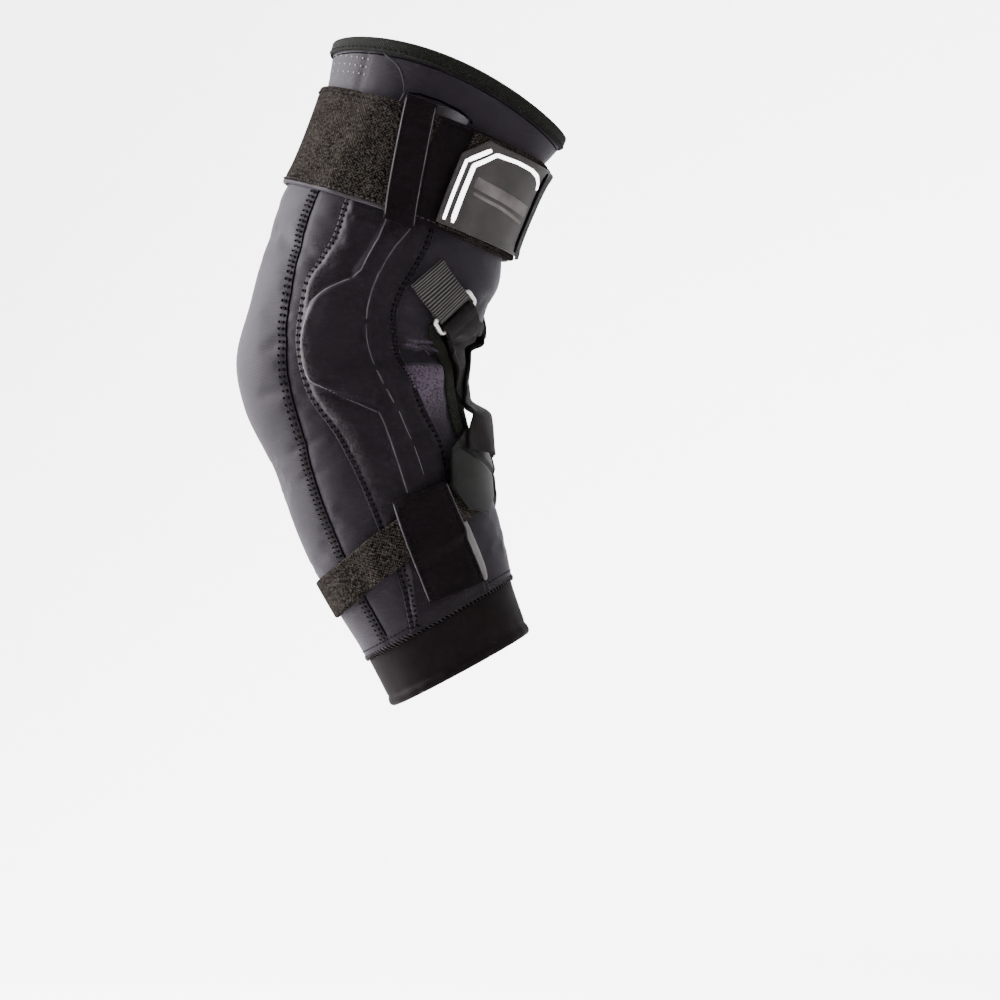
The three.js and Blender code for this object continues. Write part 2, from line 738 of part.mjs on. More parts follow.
function makeStrapEnd() {
  const half = UPPER_STRAP_WIDTH / 2 - LABEL_INSET / 2;
  const place = (across, down) => {
    const angle = mix(STRAP_END_START, STRAP_END_FINISH, across);
    return { s: strapMiddle(angle) + mix(-half, half, down), angle };
  };
  const low = (s, angle) => upperStrapTop(s, angle) + LAYER_GAP;
  const high = (s, angle) => low(s, angle) + STRAP_END_THICK;
  return sheet(STRAP_END_COLUMNS, shares(WIDE_STRAP_ROWS), place, low, high);
}

/** The plate on the strap end, with one corner cut off at its upper rear. */
function makeLabelPlate() {
  const half = UPPER_STRAP_WIDTH / 2 - LABEL_INSET;
  const place = (across, down) => {
    const cut = 1 - ease(down, 0, LABEL_CHAMFER / (2 * half));
    const start = LABEL_START - LABEL_CHAMFER * cut;
    const angle = mix(start, LABEL_FINISH, across);
    return { s: strapMiddle(angle) + mix(-half, half, down), angle };
  };
  const low = (s, angle) => upperStrapTop(s, angle) + STRAP_END_THICK + LABEL_GAP;
  const high = (s, angle) => low(s, angle) + LABEL_THICK;
  return sheet(LABEL_COLUMNS, LABEL_SHARES, place, low, high);
}

/** The frame of a ring: its centre, and the directions of its long side, of the pull and outwards. */
function ringFrame(side) {
  const s = upper(RING_PLACE);
  const angle = RING_ANGLE * side;
  const outward = outwardAt(s, angle);
  const down = onLimb(s + 1, angle, 0).sub(onLimb(s - 1, angle, 0)).normalize();
  const toFront = outward.clone().cross(down).multiplyScalar(side);
  const turn = PULL_TURN * RAD;
  const pull = down.clone().multiplyScalar(Math.cos(turn)).addScaledVector(toFront, Math.sin(turn));
  const outwardTrue = outward.addScaledVector(pull, -outward.dot(pull)).normalize();
  const long = pull.clone().cross(outwardTrue).normalize();
  return { centre: onLimb(s, angle, RING_HEIGHT), pull, long, outward: outwardTrue };
}

/** A point in a ring's frame. */
function inFrame(frame, along, pulled, height) {
  return frame.centre.clone()
    .addScaledVector(frame.long, along)
    .addScaledVector(frame.pull, pulled)
    .addScaledVector(frame.outward, height);
}

const BAR_OFFSET = (RING_SHORT - RING_WIRE) / 2;

/** A wire bent into a rectangle with round corners. */
function makeRing(side) {
  const frame = ringFrame(side);
  const halfLong = (RING_LONG - RING_WIRE) / 2 - RING_BEND;
  const halfShort = BAR_OFFSET - RING_BEND;
  const sections = [];
  for (let corner = 0; corner < 4; corner += 1) {
    const alongSign = corner === 0 || corner === 3 ? 1 : -1;
    const pullSign = corner < 2 ? 1 : -1;
    for (let step = 0; step <= WIRE_BEND_STEPS; step += 1) {
      const turn = (corner + step / WIRE_BEND_STEPS) * Math.PI / 2;
      const reach = new THREE.Vector2(Math.cos(turn), Math.sin(turn));
      sections.push(Array.from({ length: WIRE_SIDES }, (_, face) => {
        const around = FULL_TURN * face / WIRE_SIDES * RAD;
        const out = RING_BEND + RING_WIRE / 2 * Math.cos(around);
        const along = alongSign * halfLong + out * reach.x;
        const pulled = pullSign * halfShort + out * reach.y;
        return inFrame(frame, along, pulled, RING_WIRE / 2 * Math.sin(around));
      }));
    }
  }
  return bodyFrom(sections, true);
}

/** The passage of a ring's bar through the eye round it. */
function barPassage(side, pulled) {
  const frame = ringFrame(side);
  const passage = new THREE.CylinderGeometry(
    RING_WIRE / 2 + EYE_GAP,
    RING_WIRE / 2 + EYE_GAP,
    RING_LONG,
    EYE_SIDES,
  );
  const aside = frame.long.clone().cross(frame.outward);
  const turn = new THREE.Matrix4().makeBasis(frame.outward, frame.long, aside.negate());
  turn.setPosition(inFrame(frame, 0, pulled, 0));
  passage.applyMatrix4(turn);
  passage.deleteAttribute('normal');
  passage.deleteAttribute('uv');
  return mergeVertices(passage);
}

/** Half thickness of a folded strap at a distance past the bar that it turns round. */
function eyeHalf(distance, thick, foldBack) {
  const round = RING_WIRE / 2 + EYE_GAP + thick;
  const eye = Math.sqrt(Math.max(round * round - distance * distance, 0));
  const doubled = distance > 0 && distance < foldBack ? thick : thick / 2;
  return Math.max(eye, doubled);
}

/**
 * A flat strap through a row of stations. A station has its middle, the direction across, the
 * direction outwards, its half thickness, and how far its edges bow down to a curved bed.
 */
function strapThrough(stations, width) {
  const sections = stations.map((station) => {
    const place = (share, height) => station.middle.clone()
      .addScaledVector(station.across, share * width)
      .addScaledVector(station.outward, height - station.bow * (2 * share) ** 2);
    const over = STRAP_SHARES.map((share) => place(share, station.half));
    const under = STRAP_SHARES.map((share) => place(share, -station.half));
    return [...over, ...under.reverse()];
  });
  return bodyFrom(sections, false);
}

/** Distances at which a strap's stations lie near its eye. */
function eyeDistances(thick) {
  const round = RING_WIRE / 2 + EYE_GAP + thick;
  return EYE_STATIONS.map((share) => share * round);
}

/** Elastic webbing from its sewn end on the sleeve to the rear bar of the ring. */
function makeWebbing(side) {
  const frame = ringFrame(side);
  const scale = perDegree(upper(RING_PLACE), RING_ANGLE);
  const distances = [...eyeDistances(WEBBING_THICK), ...WEBBING_STATIONS, WEBBING_LENGTH];
  const stations = distances.map((distance) => {
    const settled = ease(distance, WEBBING_FREE, WEBBING_LENGTH - SEWN_LENGTH);
    const back = BAR_OFFSET + distance;
    const s = upper(RING_PLACE) - back * Math.cos(PULL_TURN * RAD);
    const angle = (RING_ANGLE + back * Math.sin(PULL_TURN * RAD) / scale) * side;
    const sewn = onLimb(s, angle, WEBBING_GAP + WEBBING_THICK + SEWN_BOW);
    const outward = frame.outward.clone().lerp(outwardAt(s, angle), settled).normalize();
    return {
      middle: inFrame(frame, 0, -back, 0).lerp(sewn, settled),
      across: frame.long.clone().addScaledVector(outward, -frame.long.dot(outward)).normalize(),
      outward,
      half: eyeHalf(distance, WEBBING_THICK, WEBBING_LENGTH * 2),
      bow: SEWN_BOW * settled,
    };
  });
  return cutFrom(strapThrough(stations, CROSS_STRAP_WIDTH), [barPassage(side, -BAR_OFFSET)]);
}

/** Height of the middle of a cross strap: low in the crook, over the tape round it, then on the tab. */
function crossHeight(s, angle, isOver) {
  const share = (s - upper(WINDOW_TOP)) / (fore(WINDOW_BOTTOM) - upper(WINDOW_TOP));
  const half = readTable(WINDOW_OUTLINE, share, 'half', 'share') * WINDOW_ANGLE;
  const surface = onLimb(s, angle, 0);
  const fromSide = (half - sideless(angle)) * perDegree(s, angle);
  const fromTop = share < 0 ? 0 : surface.distanceTo(onLimb(upper(WINDOW_TOP), angle, 0));
  const fromEnd = share > 1 ? 0 : surface.distanceTo(onLimb(fore(WINDOW_BOTTOM), angle, 0));
  const inside = ease(Math.min(fromSide, fromTop, fromEnd), INTO_WINDOW_START, INTO_WINDOW_END);
  const overTape = WINDOW_TAPE_GAP + TAPE_THICK + LAYER_GAP + CROSS_STRAP_THICK / 2;
  const sunk = -CROSS_SINK - CROSSING_GAP;
  const onTab = tabLow(s, angle) + TAB_THICK + STRAP_ON_TAB_GAP + CROSS_STRAP_THICK / 2;
  const tabTop = fore(TAB_PLACE) - TAB_LENGTH / 2;
  const crossing = 1 - ease(sideless(angle), CROSSING_FULL_ANGLE, CROSSING_END_ANGLE);
  const apart = (CROSS_STRAP_THICK + CROSSING_GAP) * crossing;
  const reached = ease(s, tabTop - ONTO_TAB_START, tabTop - ONTO_TAB_END);
  const bed = mix(mix(overTape, sunk, inside), onTab, reached);
  return bed + (isOver ? apart : 0);
}

/**
 * A cross strap from the ring on one side to the tab on the other. One of the two passes over the
 * other one.
 */
function makeCrossStrap(ringSide, isOver) {
  const frame = ringFrame(ringSide);
  const endSide = -ringSide;
  const scale = perDegree(upper(RING_PLACE), RING_ANGLE);
  const start = (distance) => ({
    s: upper(RING_PLACE) + (BAR_OFFSET + distance) * Math.cos(PULL_TURN * RAD),
    angle: (RING_ANGLE - (BAR_OFFSET + distance) * Math.sin(PULL_TURN * RAD) / scale) * ringSide,
  });
  const route = [
    start(0),
    start(PULL_STRAIGHT),
    ...CROSS_PATH.map(({ along, angle }) => ({ s: fromShare(along), angle: angle * endSide })),
    tabPlace(0, CROSS_END, endSide),
  ];
  const curve = new THREE.CatmullRomCurve3(route.map(({ s, angle }) => new THREE.Vector3(s, angle, 0)));
  const places = shares(ROUTE_STEPS).map((share) => {
    const at = curve.getPoint(share);
    return { s: at.x, angle: at.y };
  });
  const gone = [0];
  for (let step = 1; step < places.length; step += 1) {
    const before = places[step - 1];
    const here = onLimb(places[step].s, places[step].angle, 0);
    gone.push(gone[step - 1] + here.distanceTo(onLimb(before.s, before.angle, 0)));
  }
  const sectionAt = (step, distance) => {
    const place = places[step];
    const before = places[Math.max(step - 1, 0)];
    const after = places[Math.min(step + 1, places.length - 1)];
    const away = sideways(place, before, after).multiplyScalar(-1);
    const settled = ease(distance, EYE_TO_LIMB_START, EYE_TO_LIMB_END);
    const half = eyeHalf(distance, CROSS_STRAP_THICK, FOLD_BACK);
    const pointAt = (share, side) => {
      const spot = walk(place, away, share * CROSS_STRAP_WIDTH);
      const height = crossHeight(spot.s, spot.angle, isOver) + side * half;
      const laid = onLimb(spot.s, spot.angle, height);
      const long = away.dot(frame.long) < 0 ? -share : share;
      const held = inFrame(frame, long * CROSS_STRAP_WIDTH, BAR_OFFSET + distance, side * half);
      return held.lerp(laid, settled);
    };
    const over = STRAP_SHARES.map((share) => pointAt(share, 1));
    const under = STRAP_SHARES.map((share) => pointAt(share, -1));
    return [...over, ...under.reverse()];
  };
  const first = gone.findIndex((distance) => distance > FIRST_ROUTE_STEP);
  const eye = eyeDistances(CROSS_STRAP_THICK).map((distance) => sectionAt(0, distance));
  const run = places.map((_, step) => step).filter((step) => step >= first)
    .map((step) => sectionAt(step, gone[step]));
  return cutFrom(bodyFrom([...eye, ...run], false), [barPassage(ringSide, BAR_OFFSET)]);
}

/** A place on a grip tab, by shares of its half width and half length. */
function tabPlace(acrossShare, downShare, side) {
  const s0 = fore(TAB_PLACE);
  const turn = TAB_TURN * RAD;
  const across = acrossShare * TAB_WIDTH / 2;
  const down = downShare * TAB_LENGTH / 2;
  const s = s0 + down * Math.cos(turn) - across * Math.sin(turn);
  const aside = down * Math.sin(turn) + across * Math.cos(turn);
  return { s, angle: (TAB_ANGLE + aside / perDegree(s0, TAB_ANGLE)) * side };
}

/** Underside of a grip tab: on the forearm strap, the cover's edge or the tape round the opening. */
function tabLow(s, angle) {
  return Math.max(forearmStrapTop(s, angle), LAYER_GAP + TAPE_THICK) + TAB_GAP;
}

/** A six-sided grip tab with its long way down the limb. */
function makeStrapTab(side) {
  return sheet(
    TAB_COLUMNS,
    TAB_SHARES,
    (across, down) => {
      const half = 1 - TAB_POINT * clamp((Math.abs(down) - TAB_SIDE) / (1 - TAB_SIDE), 0, 1);
      return tabPlace(mix(-half, half, across), down, side);
    },
    tabLow,
    (s, angle) => tabLow(s, angle) + TAB_THICK,
  );
}

function makeForearmStrap() {
  const half = FOREARM_STRAP_WIDTH / 2;
  const place = (across, down) => {
    const angle = mix(FOREARM_STRAP_END, FULL_TURN - FOREARM_STRAP_END, down);
    return { s: forearmMiddle(angle) + mix(-half, half, across), angle };
  };
  const low = (s, angle) => bedHeight(s, angle) + LAYER_GAP;
  const high = (s, angle) => low(s, angle) + FOREARM_STRAP_THICK;
  return sheet(NARROW_STRAP_ROWS, shares(FOREARM_STRAP_STEPS), place, low, high);
}

function makeForearmPatch(side) {
  const top = fore(PATCH_PLACE) - PATCH_HEIGHT / 2;
  const place = (across, down) => {
    const front = mix(PATCH_TOP_FRONT, PATCH_BOTTOM_FRONT, down);
    const rear = mix(PATCH_TOP_REAR, PATCH_BOTTOM_REAR, down);
    return { s: top + down * PATCH_HEIGHT, angle: mix(front, rear, across) * side };
  };
  const low = (s, angle) => forearmStrapTop(s, angle) + LAYER_GAP;
  const high = (s, angle) => low(s, angle) + PATCH_THICK;
  return sheet(PATCH_COLUMNS, shares(PATCH_ROWS), place, low, high);
}

/** Materials by what the piece is made of. */
const FINISHES = {
  neoprene: { color: 0x2b272d, roughness: 0.82, metalness: 0 },
  cover: { color: 0x27242a, roughness: 0.7, metalness: 0 },
  loop: { color: 0x28241f, roughness: 0.95, metalness: 0 },
  tape: { color: 0x1c1e17, roughness: 0.9, metalness: 0 },
  knit: { color: 0x1c1618, roughness: 0.8, metalness: 0 },
  webbing: { color: 0x211f1d, roughness: 0.85, metalness: 0 },
  plate: { color: 0x4b4846, roughness: 0.55, metalness: 0 },
  tab: { color: 0x262423, roughness: 0.75, metalness: 0 },
  wire: { color: 0xc4c4c2, roughness: 0.35, metalness: 0.9 },
};

const brace = new THREE.Group();

/** Adds a piece to the brace under its name. */
function add(name, geometry, finish) {
  geometry.computeVertexNormals();
  const mesh = new THREE.Mesh(geometry, new THREE.MeshStandardMaterial(FINISHES[finish]));
  mesh.name = name;
  brace.add(mesh);
}

add('sleeve', makeSleeve(), 'neoprene');
add('top_binding', makeTopBinding(), 'tape');
add('window_binding', makeWindowBinding(), 'tape');
add('bottom_cuff', makeBottomCuff(), 'knit');
add('upper_strap', makeUpperStrap(), 'loop');
add('strap_keeper', makeStrapKeeper(), 'cover');
add('strap_end', makeStrapEnd(), 'loop');
add('label_plate', makeLabelPlate(), 'plate');
add('forearm_strap', makeForearmStrap(), 'loop');
for (const [name, side] of [['lateral', 1], ['medial', -1]]) {
  add(`hinge_cover_${name}`, makeHingeCover(side), 'cover');
  add(`webbing_${name}`, makeWebbing(side), 'webbing');
  add(`ring_${name}`, makeRing(side), 'wire');
  add(`strap_tab_${name}`, makeStrapTab(side), 'tab');
  add(`forearm_patch_${name}`, makeForearmPatch(side), 'cover');
}
add('cross_strap_a', makeCrossStrap(1, false), 'webbing');
add('cross_strap_b', makeCrossStrap(-1, true), 'webbing');

export default brace;
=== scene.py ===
# %% [markdown]
# # An elbow brace in its worn form
#
# The object is a hinged elbow brace, bent about 43 degrees, as it sits on an arm that isn't there.
# The CAD model fixes where each piece lies. Here each piece gets the surface that an eye would look
# at: padded cloth with its seams, pile straps with rows of stitches, tape, wire, and a bare plate
# with stripes.
#
# Every piece lies on the same bent limb, so one idea carries the whole script: a place on the limb
# has three numbers. `s` is the distance along its centre line in millimetres, negative up the upper
# arm. `angle` goes round it in degrees, 0 at the front, 90 at the outer side, 180 at the back.
# `height` is measured out from the outer face of the sleeve. A piece is then a grid of such places.

import math

import bpy
import numpy as np
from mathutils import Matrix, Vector


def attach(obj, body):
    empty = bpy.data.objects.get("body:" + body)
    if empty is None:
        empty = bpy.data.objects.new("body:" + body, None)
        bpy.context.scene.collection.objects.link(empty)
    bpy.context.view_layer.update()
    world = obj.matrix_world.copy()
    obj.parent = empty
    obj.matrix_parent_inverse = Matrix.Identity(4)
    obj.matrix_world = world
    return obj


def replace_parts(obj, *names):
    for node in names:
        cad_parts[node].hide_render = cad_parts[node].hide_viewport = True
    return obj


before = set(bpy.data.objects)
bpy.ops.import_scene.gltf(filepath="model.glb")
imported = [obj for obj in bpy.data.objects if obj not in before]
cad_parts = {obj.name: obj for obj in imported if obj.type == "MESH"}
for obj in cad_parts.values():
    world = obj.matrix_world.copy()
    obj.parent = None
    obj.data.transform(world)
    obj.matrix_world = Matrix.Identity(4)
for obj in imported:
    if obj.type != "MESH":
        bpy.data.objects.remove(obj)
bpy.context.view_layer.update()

# %% [markdown]
# ## Camera
#
# The photograph looks at the outer side, level with the elbow, from about a metre away. A lens of
# 82 mm gives the small amount of perspective that it shows: the forearm end and the upper rim are
# both seen a little from outside the middle of the picture.

# %% Make the camera
def add_object(name, data):
    thing = bpy.data.objects.new(name, data)
    bpy.context.scene.collection.objects.link(thing)
    return thing


def aim(thing, place, target):
    """Puts a camera or a lamp at a place, looking at a target."""
    thing.location = place
    thing.rotation_mode = "QUATERNION"
    thing.rotation_quaternion = (Vector(target) - Vector(place)).to_track_quat("-Z", "Y")


camera_data = bpy.data.cameras.new("camera")
camera_data.lens = 81.9
camera_data.sensor_width = 36
camera_data.clip_start = 0.05
camera_data.clip_end = 30
camera = add_object("camera", camera_data)
bpy.context.scene.camera = camera
aim(camera, (0.117, -1.0, -0.045), (0.0647, 0.0, -0.0607))
print("camera at", camera.location[:], "metres, lens", camera_data.lens)

# %% [markdown]
# ## The limb
#
# The limb is drawn as two straights joined by an arc, with an ellipse across it at each place. A
# table gives the ellipse's depth, width and forward shift at 18 places, and a smooth cubic fills in
# between. The same numbers made the CAD, so each surface here lies where its solid does.

# %% Tables of the limb
MM = 0.001
SIDES = ((1, "lateral"), (-1, "medial"))
UPPER_LENGTH, FORE_LENGTH = 126, 144
UPPER_LEAN, FORE_LEAN = math.radians(22), math.radians(21.5)
BEND_RADIUS, ARM_DEPTH, ARM_WIDTH = 71, 108, 93
MIDDLE_LEAN = (UPPER_LEAN - FORE_LEAN) / 2
BEND_START = -BEND_RADIUS * (UPPER_LEAN - MIDDLE_LEAN)
BEND_END = BEND_RADIUS * (MIDDLE_LEAN + FORE_LEAN)


def table(columns, rows):
    """Puts the rows of a table under the names of its columns."""
    return dict(zip(columns.split(), np.array(rows, float).T))


# along is a share of the upper length where negative and of the forearm length where positive
SECTIONS = table("along depth width shift", [
    (-1.07, 1.0, 1.0, -0.006), (-0.97, 0.991, 1.0, 0.003), (-0.86, 0.921, 0.989, -0.005),
    (-0.71, 0.898, 0.984, -0.007), (-0.57, 0.903, 0.978, -0.006), (-0.47, 0.935, 0.957, -0.002),
    (-0.36, 0.93, 0.935, 0), (-0.24, 0.93, 0.914, 0.011), (-0.12, 0.924, 0.892, 0.018),
    (0, 0.956, 0.882, 0.003), (0.085, 0.932, 0.884, 0.009), (0.18, 0.882, 0.892, 0.018),
    (0.28, 0.844, 0.892, 0.004), (0.42, 0.816, 0.86, -0.012), (0.56, 0.781, 0.817, -0.02),
    (0.7, 0.734, 0.763, -0.018), (0.83, 0.675, 0.71, -0.015), (1.03, 0.64, 0.672, -0.004),
])
# large soft hills and hollows; rise is a share of the arm's depth
FOLDS = table("along angle reach sweep rise", [
    (-0.02, 54, 0.05, 20, -0.017), (-0.12, 60, 0.06, 16, 0.013), (0.12, 50, 0.08, 22, 0.016),
    (0.26, 56, 0.06, 20, -0.01), (-0.43, 20, 0.05, 34, 0.012), (-0.3, 150, 0.05, 30, -0.008),
])
COVER_OUTLINE = table("along front rear bar", [
    (-0.905, 69, 103, 93), (-0.71, 67, 107, 88), (-0.52, 64.5, 111, 83), (-0.38, 66, 110.5, 85),
    (-0.29, 69, 114, 88), (-0.21, 69.5, 118, 87), (-0.095, 66, 116.5, 83), (0, 61.5, 112, 79),
    (0.097, 57, 109.5, 76), (0.194, 55.5, 104.5, 74), (0.333, 47.5, 99.5, 72),
    (0.5, 48.5, 97.5, 70), (0.694, 44.5, 99, 68), (0.86, 42, 108, 68),
])
PLATE_OUTLINE = table("along front rear", [
    (-0.33, 84, 84), (-0.245, 84, 99), (-0.15, 82.5, 111), (0.05, 76, 108), (0.097, 75, 97),
    (0.19, 76, 76),
])
# the hole over the crook: its ends in mm, and its half width as a share of WINDOW_HALF degrees
WINDOW_TOP, WINDOW_BOTTOM, WINDOW_HALF = -0.262 * UPPER_LENGTH, 0.43 * FORE_LENGTH, 46
WINDOW_OUTLINE = table("share half", [
    (0, 0.42), (0.03, 0.78), (0.08, 1), (0.18, 0.88), (0.34, 0.74), (0.55, 0.72), (0.75, 0.66),
    (0.9, 0.6), (0.97, 0.44), (1, 0.2),
])
print(len(SECTIONS["along"]), "sections and", len(COVER_OUTLINE["along"]), "rows of the cover")

# %% [markdown]
# ## From a place to a point
#
# `on_limb` takes whole arrays of places and gives their points. The section at `s` is an ellipse.
# The point on it at `angle` is pushed out along the ellipse's normal by `height`, so a layer keeps
# its thickness all the way round.


# %% Functions of the limb
def read(rows, place, column, by="along"):
    """Reads a column between a table's rows. The curve is a cubic between each two rows, and its
    slope at a row is that of the line through the rows before and after it."""
    x, y = rows[by], rows[column]
    last = len(x) - 1
    row = np.arange(last + 1)
    before, after = np.maximum(row - 1, 0), np.minimum(row + 1, last)
    slope = (y[after] - y[before]) / (x[after] - x[before])
    place = np.clip(place, x[0], x[-1])
    low = np.clip(np.searchsorted(x, place, side="left") - 1, 0, last - 1)
    span = x[low + 1] - x[low]
    t = (place - x[low]) / span
    eased = t * t * (3 - 2 * t)
    bulge = span * t * (1 - t) * ((1 - t) * slope[low] - t * slope[low + 1])
    return y[low] + (y[low + 1] - y[low]) * eased + bulge


def ease(value, low, high):
    """Rises from 0 to 1 as value goes from low to high: 3 t squared minus 2 t cubed."""
    t = np.clip((value - low) / (high - low), 0, 1)
    return t * t * (3 - 2 * t)


def share_along(s):
    return np.where(s < 0, s / UPPER_LENGTH, s / FORE_LENGTH)


def sideless(angle):
    """The angle from the front on either side, from 0 to 180."""
    turned = np.mod(angle, 360)
    return np.minimum(turned, 360 - turned)


def fold_height(s, angle):
    """Sum of hills: rise times exp of minus the squared distances along and round."""
    along, turn, height = share_along(s), sideless(angle), 0
    for k in range(len(FOLDS["along"])):
        down = (along - FOLDS["along"][k]) / FOLDS["reach"][k]
        aside = (turn - FOLDS["angle"][k]) / FOLDS["sweep"][k]
        height = height + FOLDS["rise"][k] * ARM_DEPTH * np.exp(-down**2 - aside**2)
    return height


def on_limb(s, angle, height=0.0):
    """Points at places on the limb, in millimetres. The centre line is an arc of the bend radius
    with a straight at each end. The section's point is (depth cos, width sin), moved out along the
    ellipse's normal by the height."""
    s, angle, height = np.broadcast_arrays(*(np.asarray(x, float) for x in (s, angle, height)))
    bent = np.clip(s, BEND_START, BEND_END)
    lean = MIDDLE_LEAN - bent / BEND_RADIUS
    x = BEND_RADIUS * (np.cos(MIDDLE_LEAN) - np.cos(lean)) - np.sin(lean) * (s - bent)
    z = BEND_RADIUS * (np.sin(lean) - np.sin(MIDDLE_LEAN)) - np.cos(lean) * (s - bent)
    along = share_along(s)
    depth = read(SECTIONS, along, "depth") * ARM_DEPTH / 2
    width = read(SECTIONS, along, "width") * ARM_WIDTH / 2
    shift = read(SECTIONS, along, "shift") * ARM_DEPTH
    front, side = np.cos(np.radians(angle)), np.sin(np.radians(angle))
    steep = np.hypot(front / depth, side / width)
    lift = height + fold_height(s, angle)
    reach = depth * front + front / depth / steep * lift + shift
    aside = width * side + side / width / steep * lift
    return np.stack([x + np.cos(lean) * reach, -aside, z - np.sin(lean) * reach], -1)


def unit(vectors):
    return vectors / np.linalg.norm(vectors, axis=-1, keepdims=True)


def running(steps):
    """The sum of the steps so far at each of their ends, from 0."""
    return np.concatenate([[0], np.cumsum(steps)])


def from_ends(gone):
    """The distance to the nearer end, from distances gone."""
    return np.minimum(gone, gone[-1] - gone)


def outward_at(s, angle):
    return unit(on_limb(s, angle, 1) - on_limb(s, angle, 0))


def per_degree(s, angle):
    """Millimetres round the limb for one degree."""
    return np.linalg.norm(on_limb(s, angle + 0.5) - on_limb(s, angle - 0.5), axis=-1)


def walk(s, angle, direction, distance, steps=8):
    """Walks over the surface from places, a distance in a direction, in short steps."""
    step = np.asarray(distance, float) / steps
    for _ in range(steps):
        along = on_limb(s + 0.5, angle) - on_limb(s - 0.5, angle)
        turn = on_limb(s, angle + 0.5) - on_limb(s, angle - 0.5)
        s = s + step * (direction * along).sum(-1) / (along**2).sum(-1)
        angle = angle + step * (direction * turn).sum(-1) / (turn**2).sum(-1)
    return s, angle


print("elbow point", on_limb(0, 180).round(1), "crook", on_limb(0, 0).round(1))

# %% [markdown]
# ## Heights of the layers
#
# The brace is a pile of layers, so each layer's underside is the top of the one below it. The hinge
# cover lies on the sleeve and has the plate and the two bars inside. A strap lies on the cover
# where there is one, and comes down softly to the sleeve beside it.

# %% Heights of the layers
GAP, WALL = 0.45, 3.2
COVER_EDGE, PAD_RISE, PLATE_RISE, BAR_RISE, BAR_HALF = 1.2, 1.8, 2.6, 1.7, 7.5
COVER_TOP = -0.905 * UPPER_LENGTH
STRAP_WIDTH, STRAP_THICK = 45, 2.4
FORE_STRAP_WIDTH, FORE_STRAP_THICK, FORE_STRAP_END = 18, 1.8, 34
TAPE_THICK, TAPE_REACH, TAPE_GAP = 1.0, 5.0, 0.7
TAB_THICK, TAB_LENGTH, TAB_WIDTH = 1.8, 35, 30
TAB_S, TAB_ANGLE, TAB_TURN = 0.455 * FORE_LENGTH, 31, math.radians(20)
BED_SPREAD, BED_FADE = 4.5, 16


def rim_top(angle):
    return -UPPER_LENGTH - 7.5 * np.sin(np.radians(angle)) ** 2


def rim_bottom(angle):
    return FORE_LENGTH - 4 * np.cos(np.radians(angle))


def cuff_seam(angle):
    return FORE_LENGTH - 24.5 - 5 * np.cos(np.radians(angle))


def strap_middle(angle):
    return -0.69 * UPPER_LENGTH - 2.5 * np.cos(np.radians(angle))


def forearm_middle(angle):
    return 0.573 * FORE_LENGTH - 11.5 * np.cos(np.radians(angle))


def past(rows, column, s, angle):
    """Millimetres from an outline's edge towards the back."""
    turn = sideless(angle)
    return (turn - read(rows, share_along(s), column)) * per_degree(s, turn)


def inside_cover(s, angle):
    """Millimetres inside the cover's front and rear edges, negative outside them."""
    front, rear = (past(COVER_OUTLINE, column, s, angle) for column in ("front", "rear"))
    return np.minimum(front, -rear)


def cover_height(s, angle, spread=0.0):
    """Top of the cover: a pad that thins at its edge, with the bars or the plate raised on it."""
    turn, along = sideless(angle), share_along(s)
    edge = np.minimum(inside_cover(s, angle), np.minimum(s - COVER_TOP, cuff_seam(angle) - s))
    full = np.ones_like(edge) if spread else ease(edge, 0, 6)
    pad = COVER_EDGE + PAD_RISE * full
    from_bar = np.abs(turn - read(COVER_OUTLINE, along, "bar"))
    off_bar = np.maximum(0, from_bar - spread) / BAR_HALF
    bar = BAR_RISE * (1 - ease(off_bar, 0.45, 2.2 if spread else 1)) * full
    front = turn - read(PLATE_OUTLINE, along, "front") + spread
    rear = read(PLATE_OUTLINE, along, "rear") + spread - turn
    on_plate = (along > -0.33) & (along < 0.19)
    plate = on_plate * PLATE_RISE * ease(np.minimum(front, rear) * per_degree(s, turn), 0, 3)
    return GAP + pad + np.maximum(bar, plate)


def bed_height(s, angle):
    """What a strap lies on: the cover's height, eased down to the bare sleeve beside it."""
    outside = np.maximum(0, -inside_cover(s, angle) / per_degree(s, sideless(angle)) - BED_SPREAD)
    above = np.maximum(0, COVER_TOP - 2.5 - s)
    height = cover_height(s, angle, BED_SPREAD) * (1 - ease(outside, 0, BED_FADE))
    return height * (1 - ease(above, 0, BED_FADE))


def on_bed(s, angle):
    return bed_height(s, angle) + GAP


def under_strap(distance, width):
    return 1 - ease(np.abs(distance), width / 2 + 2.5, width / 2 + 7.5)


def upper_strap_top(s, angle):
    share = under_strap(s - strap_middle(angle), STRAP_WIDTH)
    return bed_height(s, angle) + (GAP + STRAP_THICK) * share


def on_strap(s, angle):
    return upper_strap_top(s, angle) + GAP


def forearm_strap_top(s, angle):
    reached = ease(sideless(angle), FORE_STRAP_END - BED_FADE, FORE_STRAP_END - BED_SPREAD)
    share = under_strap(s - forearm_middle(angle), FORE_STRAP_WIDTH) * reached
    return bed_height(s, angle) + (GAP + FORE_STRAP_THICK) * share


def tab_low(s, angle):
    return np.maximum(forearm_strap_top(s, angle), GAP + 1) + GAP * 1.6


print("cover over the plate is", round(float(cover_height(-8.0, 95.0)), 2), "mm high")

# %% [markdown]
# ## Building a mesh from two grids
#
# Cloth has two faces and a thin rounded edge. So a piece is made of two grids of points, its top
# and its underside, that meet along the border. Half the thickness goes to nothing at the border
# along a quarter circle, which gives the soft edge without a bevel. The UV map is in millimetres,
# so that a weave has its real size on every piece.


